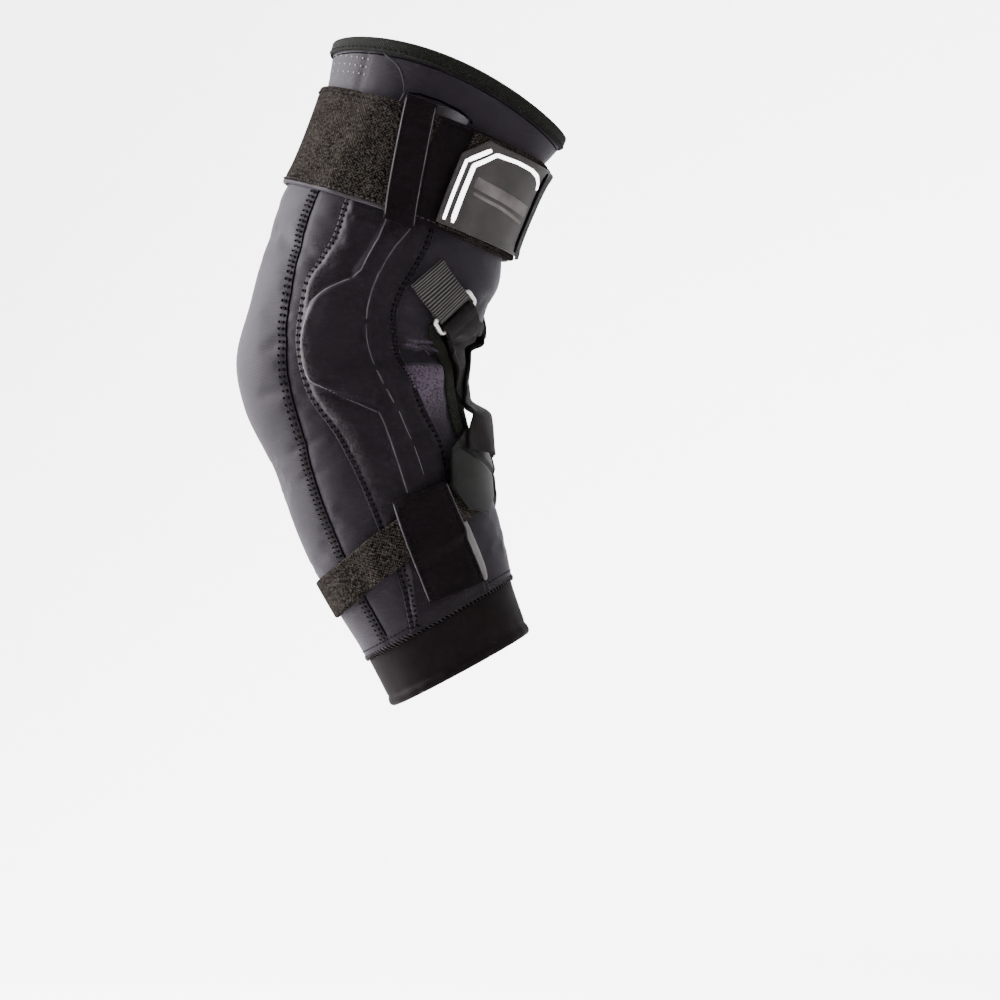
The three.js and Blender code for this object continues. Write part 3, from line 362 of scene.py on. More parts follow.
# %% Mesh builders
def build(name, points, faces, corner_uv, material):
    """One mesh object from points, quads and corner UVs. Lengths are in millimetres."""
    used, faces = np.unique(faces, return_inverse=True)
    faces = faces.reshape(-1, 4)
    points = points.reshape(-1, 3)[used] * MM
    a, b, c, d = (points[faces[:, k]] for k in range(4))
    volume = (a * np.cross(b, c)).sum() + (a * np.cross(c, d)).sum()
    if volume < 0:
        faces, corner_uv = faces[:, ::-1], corner_uv[:, ::-1]
    mesh = bpy.data.meshes.new(name)
    mesh.from_pydata(points.tolist(), [], faces.tolist())
    layer = mesh.uv_layers.new(name="mm")
    layer.data.foreach_set("uv", np.ascontiguousarray(corner_uv, float).ravel())
    mesh.polygons.foreach_set("use_smooth", np.ones(len(faces), bool))
    mesh.materials.append(material)
    return add_object(name, mesh)


def grid_faces(rows, columns, wrap_rows=False, wrap_columns=False):
    """Quads of a grid as point indices, and each corner's row and column before wrapping."""
    i, j = np.indices((rows - 1 + wrap_rows, columns - 1 + wrap_columns))
    row = np.stack([i, i, i + 1, i + 1], -1).reshape(-1, 4)
    column = np.stack([j, j + 1, j + 1, j], -1).reshape(-1, 4)
    return (row % rows) * columns + column % columns, row, column


def two_sided(name, top, under, u, v, material, wrap=False):
    """A closed piece between two grids with one border. wrap joins the last row to the first."""
    rows, columns = top.shape[:2]
    faces, row, column = grid_faces(rows, columns, wrap_rows=wrap)
    border = np.zeros((rows, columns), bool)
    border[:, [0, -1]] = True
    if not wrap:
        border[[0, -1]] = True
    here = np.arange(rows * columns).reshape(rows, columns)
    below = np.where(border, here, here + rows * columns).ravel()
    uv = np.stack([np.asarray(u)[column], np.asarray(v)[row]], -1)
    points = np.concatenate([top.reshape(-1, 3), under.reshape(-1, 3)])
    every = np.concatenate([faces, below[faces][:, ::-1]])
    return build(name, points, every, np.concatenate([uv, uv[:, ::-1]]), material)


def spaced(length, step, edge):
    """Shares along a length, about a step apart and closer together at the two rounded ends."""
    near = edge * np.array([0, 0.1, 0.35, 0.65])
    count = max(2, round((length - 2 * edge) / step) + 1)
    inside = np.linspace(edge, length - edge, count)
    return np.concatenate([near, inside, (length - near)[::-1]]) / length


def rounded(distance, edge):
    """Quarter circle: the square root of 1 minus (1 minus distance over edge) squared."""
    return np.sqrt(1 - (1 - np.clip(distance / edge, 0, 1)) ** 2)


def laid(name, place, low, thick, size, material, step=1.5, edge=0.9, relief=None, wrap=False):
    """A flat piece laid on the limb. place(across, down) gives (s, angle) for shares from 0 to 1,
    low(s, angle) the height of its underside, and size its width and length in millimetres."""
    width, length = size
    across = spaced(width, step, edge)
    count = round(length / step)
    down = np.arange(count) / count if wrap else spaced(length, step, edge)
    a, d = np.meshgrid(across, down)
    s, angle = place(a, d)
    border = np.minimum(a, 1 - a) * width
    if not wrap:
        border = np.minimum(border, np.minimum(d, 1 - d) * length)
    half = thick / 2 * rounded(border, edge)
    middle = low(s, angle) + thick / 2
    raised = 0 if relief is None else relief(a, d, border) * rounded(border, edge)
    top = on_limb(s, angle, middle + half + raised)
    under = on_limb(s, angle, middle - half)
    lengths = np.append(down, 1.0) * length if wrap else down * length
    return two_sided(name, top, under, across * width, lengths, material, wrap)


def thickened(name, middle, half, u, v, material, wrap=False):
    """A piece of thickness 2 half about a grid of middle points, along the grid's own normals."""
    if wrap:
        padded = np.concatenate([middle[-1:], middle, middle[:1]])
        down = (padded[2:] - padded[:-2]) / 2
    else:
        down = np.gradient(middle, axis=0)
    normal = unit(np.cross(np.gradient(middle, axis=1), down))
    lift = normal * np.broadcast_to(half, middle.shape[:2])[..., None]
    return two_sided(name, middle + lift, middle - lift, u, v, material, wrap)


def trim(piece):
    """Says which body a piece rides on."""
    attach(piece, "root")
    return piece


def finished(piece, slot, *nodes):
    """The same for a piece that stands for nodes of the CAD."""
    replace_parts(trim(piece), *nodes)
    print(f"{piece.name}: {len(piece.data.polygons)} faces")


# %% [markdown]
# ## Materials
#
# Each finish is a small node tree on the UV map in millimetres. The relief comes from sines of the
# two coordinates, which make a knit's ribs or a tape's weave at their true pitch, with noise for
# the fibres. Cloth also has sheen: short fibres catch light that skims the surface, so its edges
# look paler.


# %% Materials
def node(tree, kind, inputs, **settings):
    """The outputs of a new node. Each input is linked to a socket or set to a constant."""
    made = tree.nodes.new("ShaderNode" + kind)
    for key, value in settings.items():
        setattr(made, key, value)
    for key, value in inputs.items():
        if isinstance(value, bpy.types.NodeSocket):
            tree.links.new(value, made.inputs[key])
        else:
            made.inputs[key].default_value = value
    return made.outputs


class Value:
    """A number that a material's nodes work out. Sums and products of values make the nodes."""

    def __init__(self, tree, socket):
        self.tree, self.socket = tree, socket

    def math(self, operation, other=0.0):
        inputs = {0: self.socket, 1: other.socket if isinstance(other, Value) else other}
        return Value(self.tree, node(self.tree, "Math", inputs, operation=operation)[0])

    def __add__(self, other):
        return self.math("ADD", other)

    def __sub__(self, other):
        return self.math("SUBTRACT", other)

    def __mul__(self, other):
        return self.math("MULTIPLY", other)

    def wave(self, pitch):
        """Its sine with a pitch in millimetres, from minus 1 to 1."""
        return (self * (2 * math.pi / pitch)).math("SINE")


class Look:
    """A material in the making: its node tree and its shader's inputs."""

    def __init__(self, name, colour, rough, sheen=0.0, specular=0.5, metal=0.0):
        self.material = bpy.data.materials.new(name)
        self.material.use_nodes = True
        self.tree = self.material.node_tree
        self.surface = self.tree.nodes["Principled BSDF"].inputs
        constants = {
            "Base Color": (*colour, 1), "Roughness": rough, "Metallic": metal,
            "Specular IOR Level": specular, "Sheen Weight": sheen, "Sheen Roughness": 0.4,
            "Sheen Tint": (0.8, 0.76, 0.86, 1),
        }
        for socket, value in constants.items():
            self.surface[socket].default_value = value

    def uv(self):
        """The two coordinates of the UV map in millimetres."""
        parts = node(self.tree, "SeparateXYZ", {0: node(self.tree, "UVMap", {}, uv_map="mm")["UV"]})
        return Value(self.tree, parts["X"]), Value(self.tree, parts["Y"])

    def noise(self, size, detail, seed):
        """Noise on object coordinates, with spots of about a size in millimetres."""
        place = node(self.tree, "TexCoord", {})["Object"]
        inputs = {"Vector": place, "Scale": 1 / (size * MM), "Detail": detail, "W": seed}
        return Value(self.tree, node(self.tree, "TexNoise", inputs, noise_dimensions="4D")["Fac"])

    def relief(self, height, depth):
        """Relief of a depth in millimetres where height goes from 0 to 1."""
        inputs = {"Strength": 1.0, "Distance": depth * MM, "Height": height.socket}
        self.tree.links.new(node(self.tree, "Bump", inputs)["Normal"], self.surface["Normal"])

    def colours(self, factor, dark, light, low=0.3, high=0.7):
        """Colours the surface from dark to light as the factor goes from low to high."""
        ramp = self.tree.nodes.new("ShaderNodeValToRGB")
        for element, place, colour in zip(ramp.color_ramp.elements, (low, high), (dark, light)):
            element.position = place
            element.color = (*colour, 1)
        self.tree.links.new(factor.socket, ramp.inputs["Fac"])
        self.tree.links.new(ramp.outputs["Color"], self.surface["Base Color"])

    def stretched(self, colour):
        """Mixes in a paler colour, speckled, by the attribute's amount: a painted highlight."""
        amount = node(self.tree, "Attribute", {}, attribute_name="stretch")["Fac"]
        share = Value(self.tree, amount) * ((self.noise(1.0, 4, 9.4) - 0.36) * 6.0)
        under = self.surface["Base Color"].links[0].from_socket
        inputs = {"Factor": share.socket, "A": under, "B": (*colour, 1)}
        mixed = node(self.tree, "Mix", inputs, data_type="RGBA", clamp_factor=True)
        self.tree.links.new(mixed["Result"], self.surface["Base Color"])


def knit(name, dark, light, rough, sheen, pitch, depth, specular=0.4, stretched=None):
    """Jersey: ribs along the cloth, broken up by loops across it, on a slightly uneven colour."""
    look = Look(name, dark, rough, sheen, specular)
    u, v = look.uv()
    wale, fibres = u.wave(pitch), look.noise(0.7, 4, 1.3)
    course = (v + wale * (pitch / 4)).wave(pitch)
    look.relief(wale * course * 0.25 + 0.5 + fibres * 0.6, depth)
    look.colours(look.noise(14, 2, 4.1) * 0.6 + fibres * 0.4, dark, light)
    if stretched:
        look.stretched(stretched)
    return look.material


def pile(name, dark, light, rough, sheen, size, depth):
    """Loop pile: rows of tufts, a product of sines, made uneven by a fine noise. Both the relief
    and the speckled colour follow it."""
    look = Look(name, dark, rough, sheen, 0.0)
    u, v = look.uv()
    speckle = look.noise(size, 4, 7.7) + u.wave(size * 1.7) * v.wave(size * 1.7) * 0.09
    coarse = look.noise(size * 9, 2, 2.2)
    look.relief(speckle + coarse * 0.3, depth)
    look.colours(speckle + (coarse - 0.5) * 0.12, dark, light, 0.43, 0.68)
    return look.material


def ribbed(name, dark, light, rough, pitch, depth, specular):
    """Ribbed elastic: ribs across the webbing, a sine along its length. The colour follows it:
    paler on the rib tops as a painted highlight, darker in the gaps as painted shade.
    """
    look = Look(name, dark, rough, 0.01, specular)
    u, v = look.uv()
    rib = (v.wave(pitch) + u.wave(0.6) * 0.25) * 0.4 + 0.5
    look.relief(rib, depth)
    look.colours(rib, dark, light, 0.35, 0.95)
    return look.material


def painted_highlight_satin(name, dark, light, rough, start, end, specular):
    """Satin that turns from dark to light along the piece, from start to end in millimetres: a
    painted highlight.
    """
    look = Look(name, dark, rough, 0.02, specular)
    u, v = look.uv()
    gone = (v - start).math("DIVIDE", end - start)
    look.relief(u.wave(0.7), 0.03)
    look.colours(gone + look.noise(1.4, 2, 6.1) * 0.4, dark, light, 0.45, 1.3)
    return look.material


def woven(name, dark, light, rough, sheen, pitch, depth, specular):
    """Tape or webbing: a plain weave, the product of two sines at right angles."""
    look = Look(name, dark, rough, sheen, specular)
    u, v = look.uv()
    weave = u.wave(pitch) * v.wave(pitch) * 0.5 + 0.5
    look.relief(weave + look.noise(0.5, 3, 5.5) * 0.4, depth)
    look.colours(weave, dark, light, 0.2, 0.9)
    return look.material


def smooth_finish(name, dark, light, rough, size, depth, **more):
    """A moulded or coated finish: fine noise in its relief and a slight change of colour."""
    look = Look(name, dark, rough, **more)
    look.relief(look.noise(size, 3, 3.3), depth)
    look.colours(look.noise(9, 2, 8.8), dark, light)
    return look.material


# each has a dark and a light colour and a roughness, then the arguments of its own function
# the last colour of neoprene and cover cloth is paler and painted on as a highlight where light
# falls
NEOPRENE = knit(
    "neoprene", (0.0025, 0.0021, 0.0027), (0.0041, 0.0035, 0.0044), 0.6, 0.024, 0.9, 0.10, 0.012,
    stretched=(0.0150, 0.0114, 0.0160),
)
COVER = knit(
    "cover_cloth", (0.0015, 0.0012, 0.0015), (0.0026, 0.0022, 0.0027),
    0.55, 0.003, 0.8, 0.07, 0.009, stretched=(0.0070, 0.0062, 0.0068),
)
# dark cloth of the keeper and patches, also painted as shade on the wide strap
BAND_AND_SHADE = knit(
    "band_cloth", (0.0008, 0.0006, 0.0007), (0.0014, 0.0011, 0.0013), 0.6, 0.001, 0.8, 0.07, 0.005,
)
LOOP = pile("loop_pile", (0.0003, 0.0002, 0.0002), (0.0108, 0.0095, 0.0080), 0.95, 0.003, 0.8, 0.45)
TAPE = woven(
    "tape", (0.0007, 0.0008, 0.0006), (0.0046, 0.0050, 0.0040), 0.8, 0.002, 1.1, 0.35, 0.008,
)
KNIT = knit(
    "cuff_knit", (0.0010, 0.0008, 0.0008), (0.0017, 0.0013, 0.0014), 0.6, 0.002, 0.7, 0.06, 0.006,
)
STRAPPING = woven(
    "strapping", (0.0012, 0.0010, 0.0010), (0.0036, 0.0032, 0.0032), 0.7, 0.003, 0.9, 0.15, 0.01,
)
ELASTIC = ribbed(
    "ribbed_elastic", (0.0014, 0.0013, 0.0012), (0.025, 0.024, 0.023), 0.7, 1.05, 0.25, 0.01,
)
# grey of the strap's hem, also used as a painted highlight on the rear satin and the flap's edge
HEM_AND_HIGHLIGHT = knit(
    "strap_hem_and_highlight", (0.0040, 0.0036, 0.0041), (0.0066, 0.0060, 0.0066), 0.6, 0.01, 0.7, 0.05, 0.008,
)
PLATE = smooth_finish(
    "label_plate", (0.0060, 0.0055, 0.0053), (0.0082, 0.0075, 0.0071),
    0.5, 0.5, 0.03, specular=0.02,
)
STRIPE = smooth_finish("stripe", (0.82, 0.79, 0.79), (0.90, 0.88, 0.88), 0.5, 0.5, 0.02)
SMEAR = smooth_finish(
    "worn_band", (0.015, 0.0128, 0.0128), (0.027, 0.0238, 0.0238), 0.6, 0.6, 0.02, specular=0.02,
)
TAB = smooth_finish(
    "tab", (0.0010, 0.0011, 0.0009), (0.0015, 0.0015, 0.0014), 0.5, 0.6, 0.04, specular=0.015,
)
# the satin lining is real; its pale colour is a painted highlight of its sheen
SATIN = knit("satin", (0.012, 0.0115, 0.011), (0.025, 0.024, 0.023), 0.4, 0.01, 0.7, 0.04, 0.05)
SATIN_PAINTED_HIGHLIGHT = painted_highlight_satin(
    "satin_painted_highlight", (0.0022, 0.0020, 0.0023), (0.017, 0.016, 0.0175), 0.4, 0.5, 12.5, 0.03,
)
DARK_LINE = smooth_finish(
    "dark_line", (0.0003, 0.0002, 0.0003), (0.0007, 0.0006, 0.0007), 0.9, 0.6, 0.02, specular=0.0,
)
# pale colour for painted highlights where light catches the edges of plate, bars, patches and
# keeper
EDGE_HIGHLIGHT = smooth_finish(
    "edge_highlight", (0.0085, 0.0078, 0.0085), (0.017, 0.0157, 0.017), 0.6, 0.9, 0.02, specular=0.02,
)
THREAD = smooth_finish(
    "thread", (0.0004, 0.0003, 0.0004), (0.0012, 0.0010, 0.0012), 0.6, 0.4, 0.04, specular=0.005,
)
PALE_THREAD = smooth_finish(
    "pale_thread", (0.0048, 0.0044, 0.0045), (0.0100, 0.0092, 0.0092),
    0.6, 0.4, 0.04, specular=0.01,
)
EYELET = smooth_finish(
    "eyelet", (0.024, 0.022, 0.025), (0.038, 0.036, 0.040), 0.6, 0.4, 0.02, specular=0.05,
)
WIRE = smooth_finish("wire", (0.11, 0.11, 0.10), (0.17, 0.17, 0.16), 0.36, 1.5, 0.01, metal=1.0)
print(len(bpy.data.materials), "materials")

# %% [markdown]
# ## The sleeve
#
# The sleeve is a tube of foam laminate with a hole over the crook. Its outer face is one grid round
# the limb, and the faces inside the hole's outline are left out. The tape hides that ragged edge. A
# Solidify modifier then gives the wall its 3.2 mm. Two sewn lines run down its rear as pressed
# seams, made by a narrow dent: a depth times exp of minus the squared distance from the line.

# %% Sewn lines and relief of the sleeve
REAR_SEAM = table("s angle", [
    (-136, 129), (-63, 129), (-47, 129), (-32, 128), (-21, 126), (-12, 124), (-3, 119.5), (7, 119),
    (17, 120), (27, 122.5), (42, 125), (71, 125), (130, 125),
])
FLAP_SEAM = table("s angle", [
    (-132, 124), (-126.2, 118.9), (-124.4, 112.6), (-120.2, 107.2), (-113.9, 103.2), (-108, 102),
])
FOLD_ONE = table("angle s", [(30, -13), (49.4, -14.6), (59.4, -11.8), (64.5, -15.8)])
FOLD_TWO = table("angle s", [(30, -3), (40.6, -6.5), (49.1, -11.0), (54.2, -8.6), (60.8, -9.1)])
SHELF = table("angle s", [(30, 5), (39.9, 3.8), (48.6, 2.4), (56.5, 1.6), (60.2, 2.3)])


def beside(s, angle, line, column="angle"):
    """Millimetres round the limb from a sewn line, which is the same on both sides."""
    turn = sideless(angle)
    return (turn - read(line, s, column, "s")) * per_degree(s, turn)


def pressed(distance, depth, width):
    return depth * np.exp(-(distance / width) ** 2)


def crease(s, turn, line, width):
    """Height of 1 along a line across the limb, given by angle, falling off along the limb."""
    return np.exp(-((s - np.interp(turn, line["angle"], line["s"])) / width) ** 2)


def crook_folds(s, angle):
    """Folds beside the crook: two ridges with a hollow below each, and a shelf under which the
    taut cloth bulges by up to 2.2 mm and comes down again over 34 mm."""
    turn = sideless(angle)
    here = ease(turn, 36, 43) * (1 - ease(turn, 61, 67))
    ridges = 1.5 * crease(s, turn, FOLD_ONE, 1.5) - 1.0 * crease(s - 2.6, turn, FOLD_ONE, 1.3)
    ridges = ridges + 1.9 * crease(s, turn, FOLD_TWO, 1.8)
    ridges = ridges - 1.0 * crease(s - 4.2, turn, FOLD_TWO, 2.4)
    below = s - np.interp(turn, SHELF["angle"], SHELF["s"])
    bulge = 2.2 * ease(below, 0, 3.0) * (1 - ease(s, 12, 46))
    return here * (ridges + bulge)


def sleeve_height(s, angle):
    """The sleeve's small relief: dents of the rear seam and the short top seam, and folds."""
    flap = np.where((s < -110) & (s > -131), pressed(beside(s, angle, FLAP_SEAM), 0.3, 1.6), 0)
    seam = pressed(beside(s, angle, REAR_SEAM), 0.4, 1.6)
    return crook_folds(s, angle) - seam - flap


def stretch_at(s, angle):
    """Painted highlight at a place, from 0 to 1: most over the bulge below the crook, less on the
    fold crests and at the back of the elbow.
    """
    turn = sideless(angle)
    below = s - np.interp(turn, SHELF["angle"], SHELF["s"])
    bulge = ease(below, 1, 5) * (1 - ease(s, 20, 46))
    bulge = bulge * ease(turn, 30, 40) * (1 - ease(turn, 52, 66))
    crests = crease(s + 0.5, turn, FOLD_ONE, 0.9) + crease(s + 0.6, turn, FOLD_TWO, 1.1)
    crests = 0.7 * crests * ease(turn, 38, 44) * (1 - ease(turn, 59, 64))
    elbow = 0.25 * np.exp(-((s - 2) / 22) ** 2) * ease(turn, 145, 168)
    return np.maximum(np.maximum(bulge, crests), elbow)


def window_share(s):
    return (s - WINDOW_TOP) / (WINDOW_BOTTOM - WINDOW_TOP)


def window_edge(share):
    """Half angle of the hole over the crook at a share of its length."""
    return read(WINDOW_OUTLINE, share, "half", "share") * WINDOW_HALF


def window_half(s):
    """The same at s, and nothing above and below the hole."""
    share = window_share(s)
    return np.where((share > 0) & (share < 1), window_edge(share), 0)


def set_stretch(piece, amounts):
    """Stores how much painted highlight each point gets, for its material."""
    stretch = piece.data.attributes.new("stretch", "FLOAT", "POINT")
    stretch.data.foreach_set("value", np.ascontiguousarray(amounts, float))


# %% The sleeve
def make_sleeve():
    """The outer face as a grid with closer rows at the elbow, and without the faces in the hole."""
    rows, columns, length, mm_per_degree, grown = 186, 180, 262, 0.8, 1.6
    even = np.linspace(0, 1, 400)
    closer = np.cumsum(1 + 1.6 * np.exp(-((even - 0.5) / 0.1) ** 2))
    down = np.interp(np.linspace(closer[0], closer[-1], rows), closer, even)
    share, around = np.meshgrid(down, np.arange(columns) * 360 / columns - 270, indexing="ij")
    top = rim_top(around) + 0.2
    s = top + share * (cuff_seam(around) - 0.3 - top)
    points = on_limb(s, around, sleeve_top(s, around))
    faces, row, column = grid_faces(rows, columns, wrap_columns=True)
    uv = np.stack([column * 360 / columns * mm_per_degree, down[row] * length], -1)
    mid_s = s.ravel()[faces].mean(1)
    mid_angle = around.ravel()[faces[:, 0]] + 180 / columns
    near = np.clip(mid_s, WINDOW_TOP + 0.01, WINDOW_BOTTOM - 0.01)
    limit = window_half(near) + grown / per_degree(mid_s, 0)
    hole = (sideless(mid_angle) < limit) & (np.abs(near - mid_s) < grown)
    piece = build("sleeve_cloth", points, faces[~hole], uv[~hole], NEOPRENE)
    # a paler colour is painted where light falls: on the bulge below the crook, the folds and the
    # elbow
    set_stretch(piece, stretch_at(s, around).ravel()[np.unique(faces[~hole])])
    wall = piece.modifiers.new("wall", "SOLIDIFY")
    wall.thickness = WALL * MM
    wall.offset = -1
    wall.use_even_offset = True
    finished(piece, "neoprene", "sleeve")


# %% [markdown]
# ## Settling cloth
#
# Padded cloth isn't smooth: where the arm bends it has too much length, and buckles. Blender's
# Cloth finds those wrinkles. A coarse grid of the piece is held at its seams and under its straps,
# grown by one or two percent, and blown up a little from inside. How far each point moved, along
# the normal and no more than a cap, is then read back as a height for the fine grid. The grid is
# made ten times as large for the solver, which handles metre-sized cloth best.


# %% Cloth simulation
def settle(name, s, angle, height, held, wrap, grow, pressure, cap, frames=20):
    """Lets a grid of cloth settle, and returns how far each of its points moved along the normal,
    in millimetres from minus the cap to the cap."""
    start = on_limb(s, angle, height)
    rows, columns = s.shape
    faces, _, _ = grid_faces(rows, columns, wrap_columns=wrap)
    mesh = bpy.data.meshes.new(name)
    mesh.from_pydata((start.reshape(-1, 3) * MM * 10).tolist(), [], faces.tolist())
    cloth = add_object(name, mesh)
    group = cloth.vertex_groups.new(name="held")
    for k, weight in enumerate(held.ravel().tolist()):
        group.add([k], weight, "REPLACE")
    settings = cloth.modifiers.new("cloth", "CLOTH").settings
    chosen = {
        "vertex_group_mass": "held", "pin_stiffness": 1.0, "mass": 0.4, "quality": 6,
        "tension_stiffness": 25, "compression_stiffness": 25, "shear_stiffness": 10,
        "bending_stiffness": 0.6, "shrink_min": -grow, "shrink_max": -grow,
        "use_pressure": True, "uniform_pressure_force": pressure,
    }
    for key, value in chosen.items():
        setattr(settings, key, value)
    settings.effector_weights.gravity = 0
    scene = bpy.context.scene
    for k in range(1, frames + 1):
        scene.frame_set(k)
    moved = np.empty(rows * columns * 3)
    evaluated = cloth.evaluated_get(bpy.context.evaluated_depsgraph_get())
    evaluated.data.vertices.foreach_get("co", moved)
    scene.frame_set(1)
    bpy.data.objects.remove(cloth)
    moved = moved.reshape(rows, columns, 3) / (MM * 10)
    lift = ((moved - start) * outward_at(s, angle)).sum(-1)
    lift = np.clip(lift, -cap, cap) * (1 - held)
    print(f"{name}: settled by {lift.min():.2f} to {lift.max():.2f} mm")
    return lift


def between(grid, row, column):
    """Value of a grid at fractional rows and columns, weighted from the four nearest."""
    rows, columns = grid.shape
    row = np.clip(row, 0, rows - 1.001)
    column = np.clip(column, 0, columns - 1.001)
    i, j = row.astype(int), column.astype(int)
    p, q = row - i, column - j
    upper = grid[i, j] * (1 - q) + grid[i, j + 1] * q
    lower = grid[i + 1, j] * (1 - q) + grid[i + 1, j + 1] * q
    return upper * (1 - p) + lower * p


def held_under(s, angle, fade, full):
    """1 under each of the two straps and to full millimetres beside it, 0 from fade millimetres."""
    straps = ((strap_middle, STRAP_WIDTH / 2), (forearm_middle, FORE_STRAP_WIDTH / 2))
    return [ease(-np.abs(s - middle(angle)), -half - fade, -half - full) for middle, half in straps]


def settle_sleeve():
    """Wrinkles of the sleeve as a function of the place: held at rims, hole, covers and straps."""
    rows, columns, first, last = 90, 96, -124, 110
    s_line = np.linspace(first, last, rows)
    around = np.arange(columns) * 360 / columns
    s, angle = np.meshgrid(s_line, around, indexing="ij")
    under_cover = ease(inside_cover(s, angle), -4, 0)
    hole = ease(window_half(s) + 7 - sideless(angle), 0, 3) * (window_half(s) > 0)
    ends = np.maximum(ease(-s, 108, 118), ease(s, 98, 108))
    seam = pressed(beside(s, angle, REAR_SEAM), 0.7, 2.0)
    held = np.max([under_cover, *held_under(s, angle, 5, 1), hole, ends, seam], axis=0)
    lift = settle("sleeve_sim", s, angle, 0, held, True, 0.012, 0.7, 0.45)
    closed = np.concatenate([lift, lift[:, :1]], axis=1)

    def wrinkles(at_s, at_angle):
        row = (at_s - first) / (last - first) * (rows - 1)
        lift_here = between(closed, row, np.mod(at_angle, 360) / 360 * columns)
        return lift_here * ease(at_s, first, first + 6) * ease(-at_s, -last, 6 - last)

    return wrinkles


sleeve_wrinkles = settle_sleeve()


def sleeve_top(s, angle):
    return sleeve_height(s, angle) + sleeve_wrinkles(s, angle)


make_sleeve()

# %% [markdown]
# ## Hinge covers
#
# Each cover is a padded pocket with a hinge plate and two bars inside, so its cloth stands over a D
# with a straight front side and over two long channels. Its height is the CAD's, with the sewn
# details on top: a groove where the edge is stitched down, and a soft roll behind the rim of the
# plate.


# %% The hinge covers
def cover_detail(s, angle):
    """A groove of 0.5 mm along the stitched edge, and a roll of 0.7 mm behind the plate's rim."""
    groove = pressed(inside_cover(s, angle) - 2.4, 0.5, 0.8)
    from_rear = -past(COVER_OUTLINE, "rear", s, angle)
    roll = pressed(from_rear - 5.2, 0.7, 1.9) * ease(s, -48, -36) * (1 - ease(s, 16, 30))
    return roll - groove


def cover_place(across, down):
    """Place on a cover for shares from its front to its rear edge and from its top to its end."""
    along = share_along(COVER_TOP + down * (cuff_seam(90) - COVER_TOP))
    front = read(COVER_OUTLINE, along, "front")
    angle = front + across * (read(COVER_OUTLINE, along, "rear") - front)
    return COVER_TOP + down * (cuff_seam(angle) - COVER_TOP), angle


def settle_cover():
    """Wrinkles of a cover's cloth, held along its edge and at the rim of the plate."""
    columns, rows = 22, 96
    across, down = np.meshgrid(np.linspace(0, 1, columns), np.linspace(0, 1, rows))
    s, angle = cover_place(across, down)
    along = share_along(s)
    edge = 1 - ease(inside_cover(s, angle), 1.5, 4)
    front, rear = (past(PLATE_OUTLINE, column, s, angle) for column in ("front", "rear"))
    on_plate = (along > -0.34) & (along < 0.2)
    rim = 0.8 * np.exp(-((np.minimum(front, -rear) - 2) / 2.5) ** 2) * on_plate
    held = np.max([edge, rim, *held_under(s, angle, 3, 0)], axis=0)
    held[[0, -1]] = 1
    lift = settle("cover_sim", s, angle, cover_height(s, angle), held, False, 0.018, 1.5, 0.5)
    return lambda at_across, at_down: between(lift, at_down * (rows - 1), at_across * (columns - 1))


cover_wrinkles = settle_cover()


def cover_top(s, angle):
    """Top of the cover with details and wrinkles. Its shares across and down undo cover_place."""
    down = (s - COVER_TOP) / (cuff_seam(angle) - COVER_TOP)
    along = share_along(COVER_TOP + down * (cuff_seam(90) - COVER_TOP))
    front = read(COVER_OUTLINE, along, "front")
    across = (sideless(angle) - front) / (read(COVER_OUTLINE, along, "rear") - front)
    return cover_height(s, angle) + cover_detail(s, angle) + cover_wrinkles(across, down)


def make_cover(side, name):
    """A pad whose underside lies a gap above the sleeve and whose top falls off at its border."""
    width, length = 40, 232
    across, down = np.meshgrid(spaced(width, 0.8, 1.2), spaced(length, 1.0, 1.2))
    s, angle = cover_place(across, down)
    border = np.minimum(np.minimum(across, 1 - across) * width, np.minimum(down, 1 - down) * length)
    rise = (cover_top(s, angle) - GAP) * rounded(border, 1.2)
    top = on_limb(s, angle * side, GAP + rise)
    under = on_limb(s, angle * side, GAP)
    u, v = across[0] * width, down[:, 0] * length
    piece = two_sided(f"hinge_pad_{name}", top, under, u, v, COVER)
    # painted highlight on the roll behind the plate's rear rim, where light from the left falls
    from_rear = -past(COVER_OUTLINE, "rear", s, angle)
    roll_highlight = pressed(from_rear - 5.0, 1.0, 2.6) * ease(s, -62, -30) * (1 - ease(s, 14, 70))
    amounts = np.zeros(len(piece.data.vertices))
    amounts[:roll_highlight.size] = roll_highlight.ravel()
    set_stretch(piece, amounts)
    finished(piece, "cover", f"hinge_cover_{name}")


for side, name in SIDES:
    make_cover(side, name)

# %% [markdown]
# ## Wide strap, keeper, strap end and plate
#
# The straps are flat, so they are laid directly: a grid of places with a thickness. The wide strap
# goes all the way round. Its own end lies over it at the front, and carries a bare flexible plate
# with one corner cut off.


# %% The wide strap and what lies on it
STRAP_LOOP, END_THICK = 290, 1.8
KEEPER_HALF, KEEPER_WIDTH, KEEPER_THICK = STRAP_WIDTH / 2 + 3.5, 12, 1.2
LABEL_LENGTH, LABEL_HEIGHT, LABEL_THICK = 65, STRAP_WIDTH - 5.6, 1.3
LABEL_REAR, LABEL_FRONT = 68, -12
LABEL_CUT = table("down start", [(0, 59), (0.115, 63.5), (0.228, LABEL_REAR), (1, LABEL_REAR)])


def strap_place(across, down):
    angle = down * 360
    return strap_middle(angle) + (across - 0.5) * STRAP_WIDTH, angle


def hem_groove(across, down, border):
    """A pressed line 2.5 mm inside each long edge, where the strap is stitched."""
    return -pressed(border - 2.5, 0.35, 0.6)


wide_strap = laid(
    "wide_strap", strap_place, on_bed, STRAP_THICK, (STRAP_WIDTH, STRAP_LOOP), LOOP,
    step=1.6, edge=1.2, relief=hem_groove, wrap=True,
)
finished(wide_strap, "loop_pile", "upper_strap")


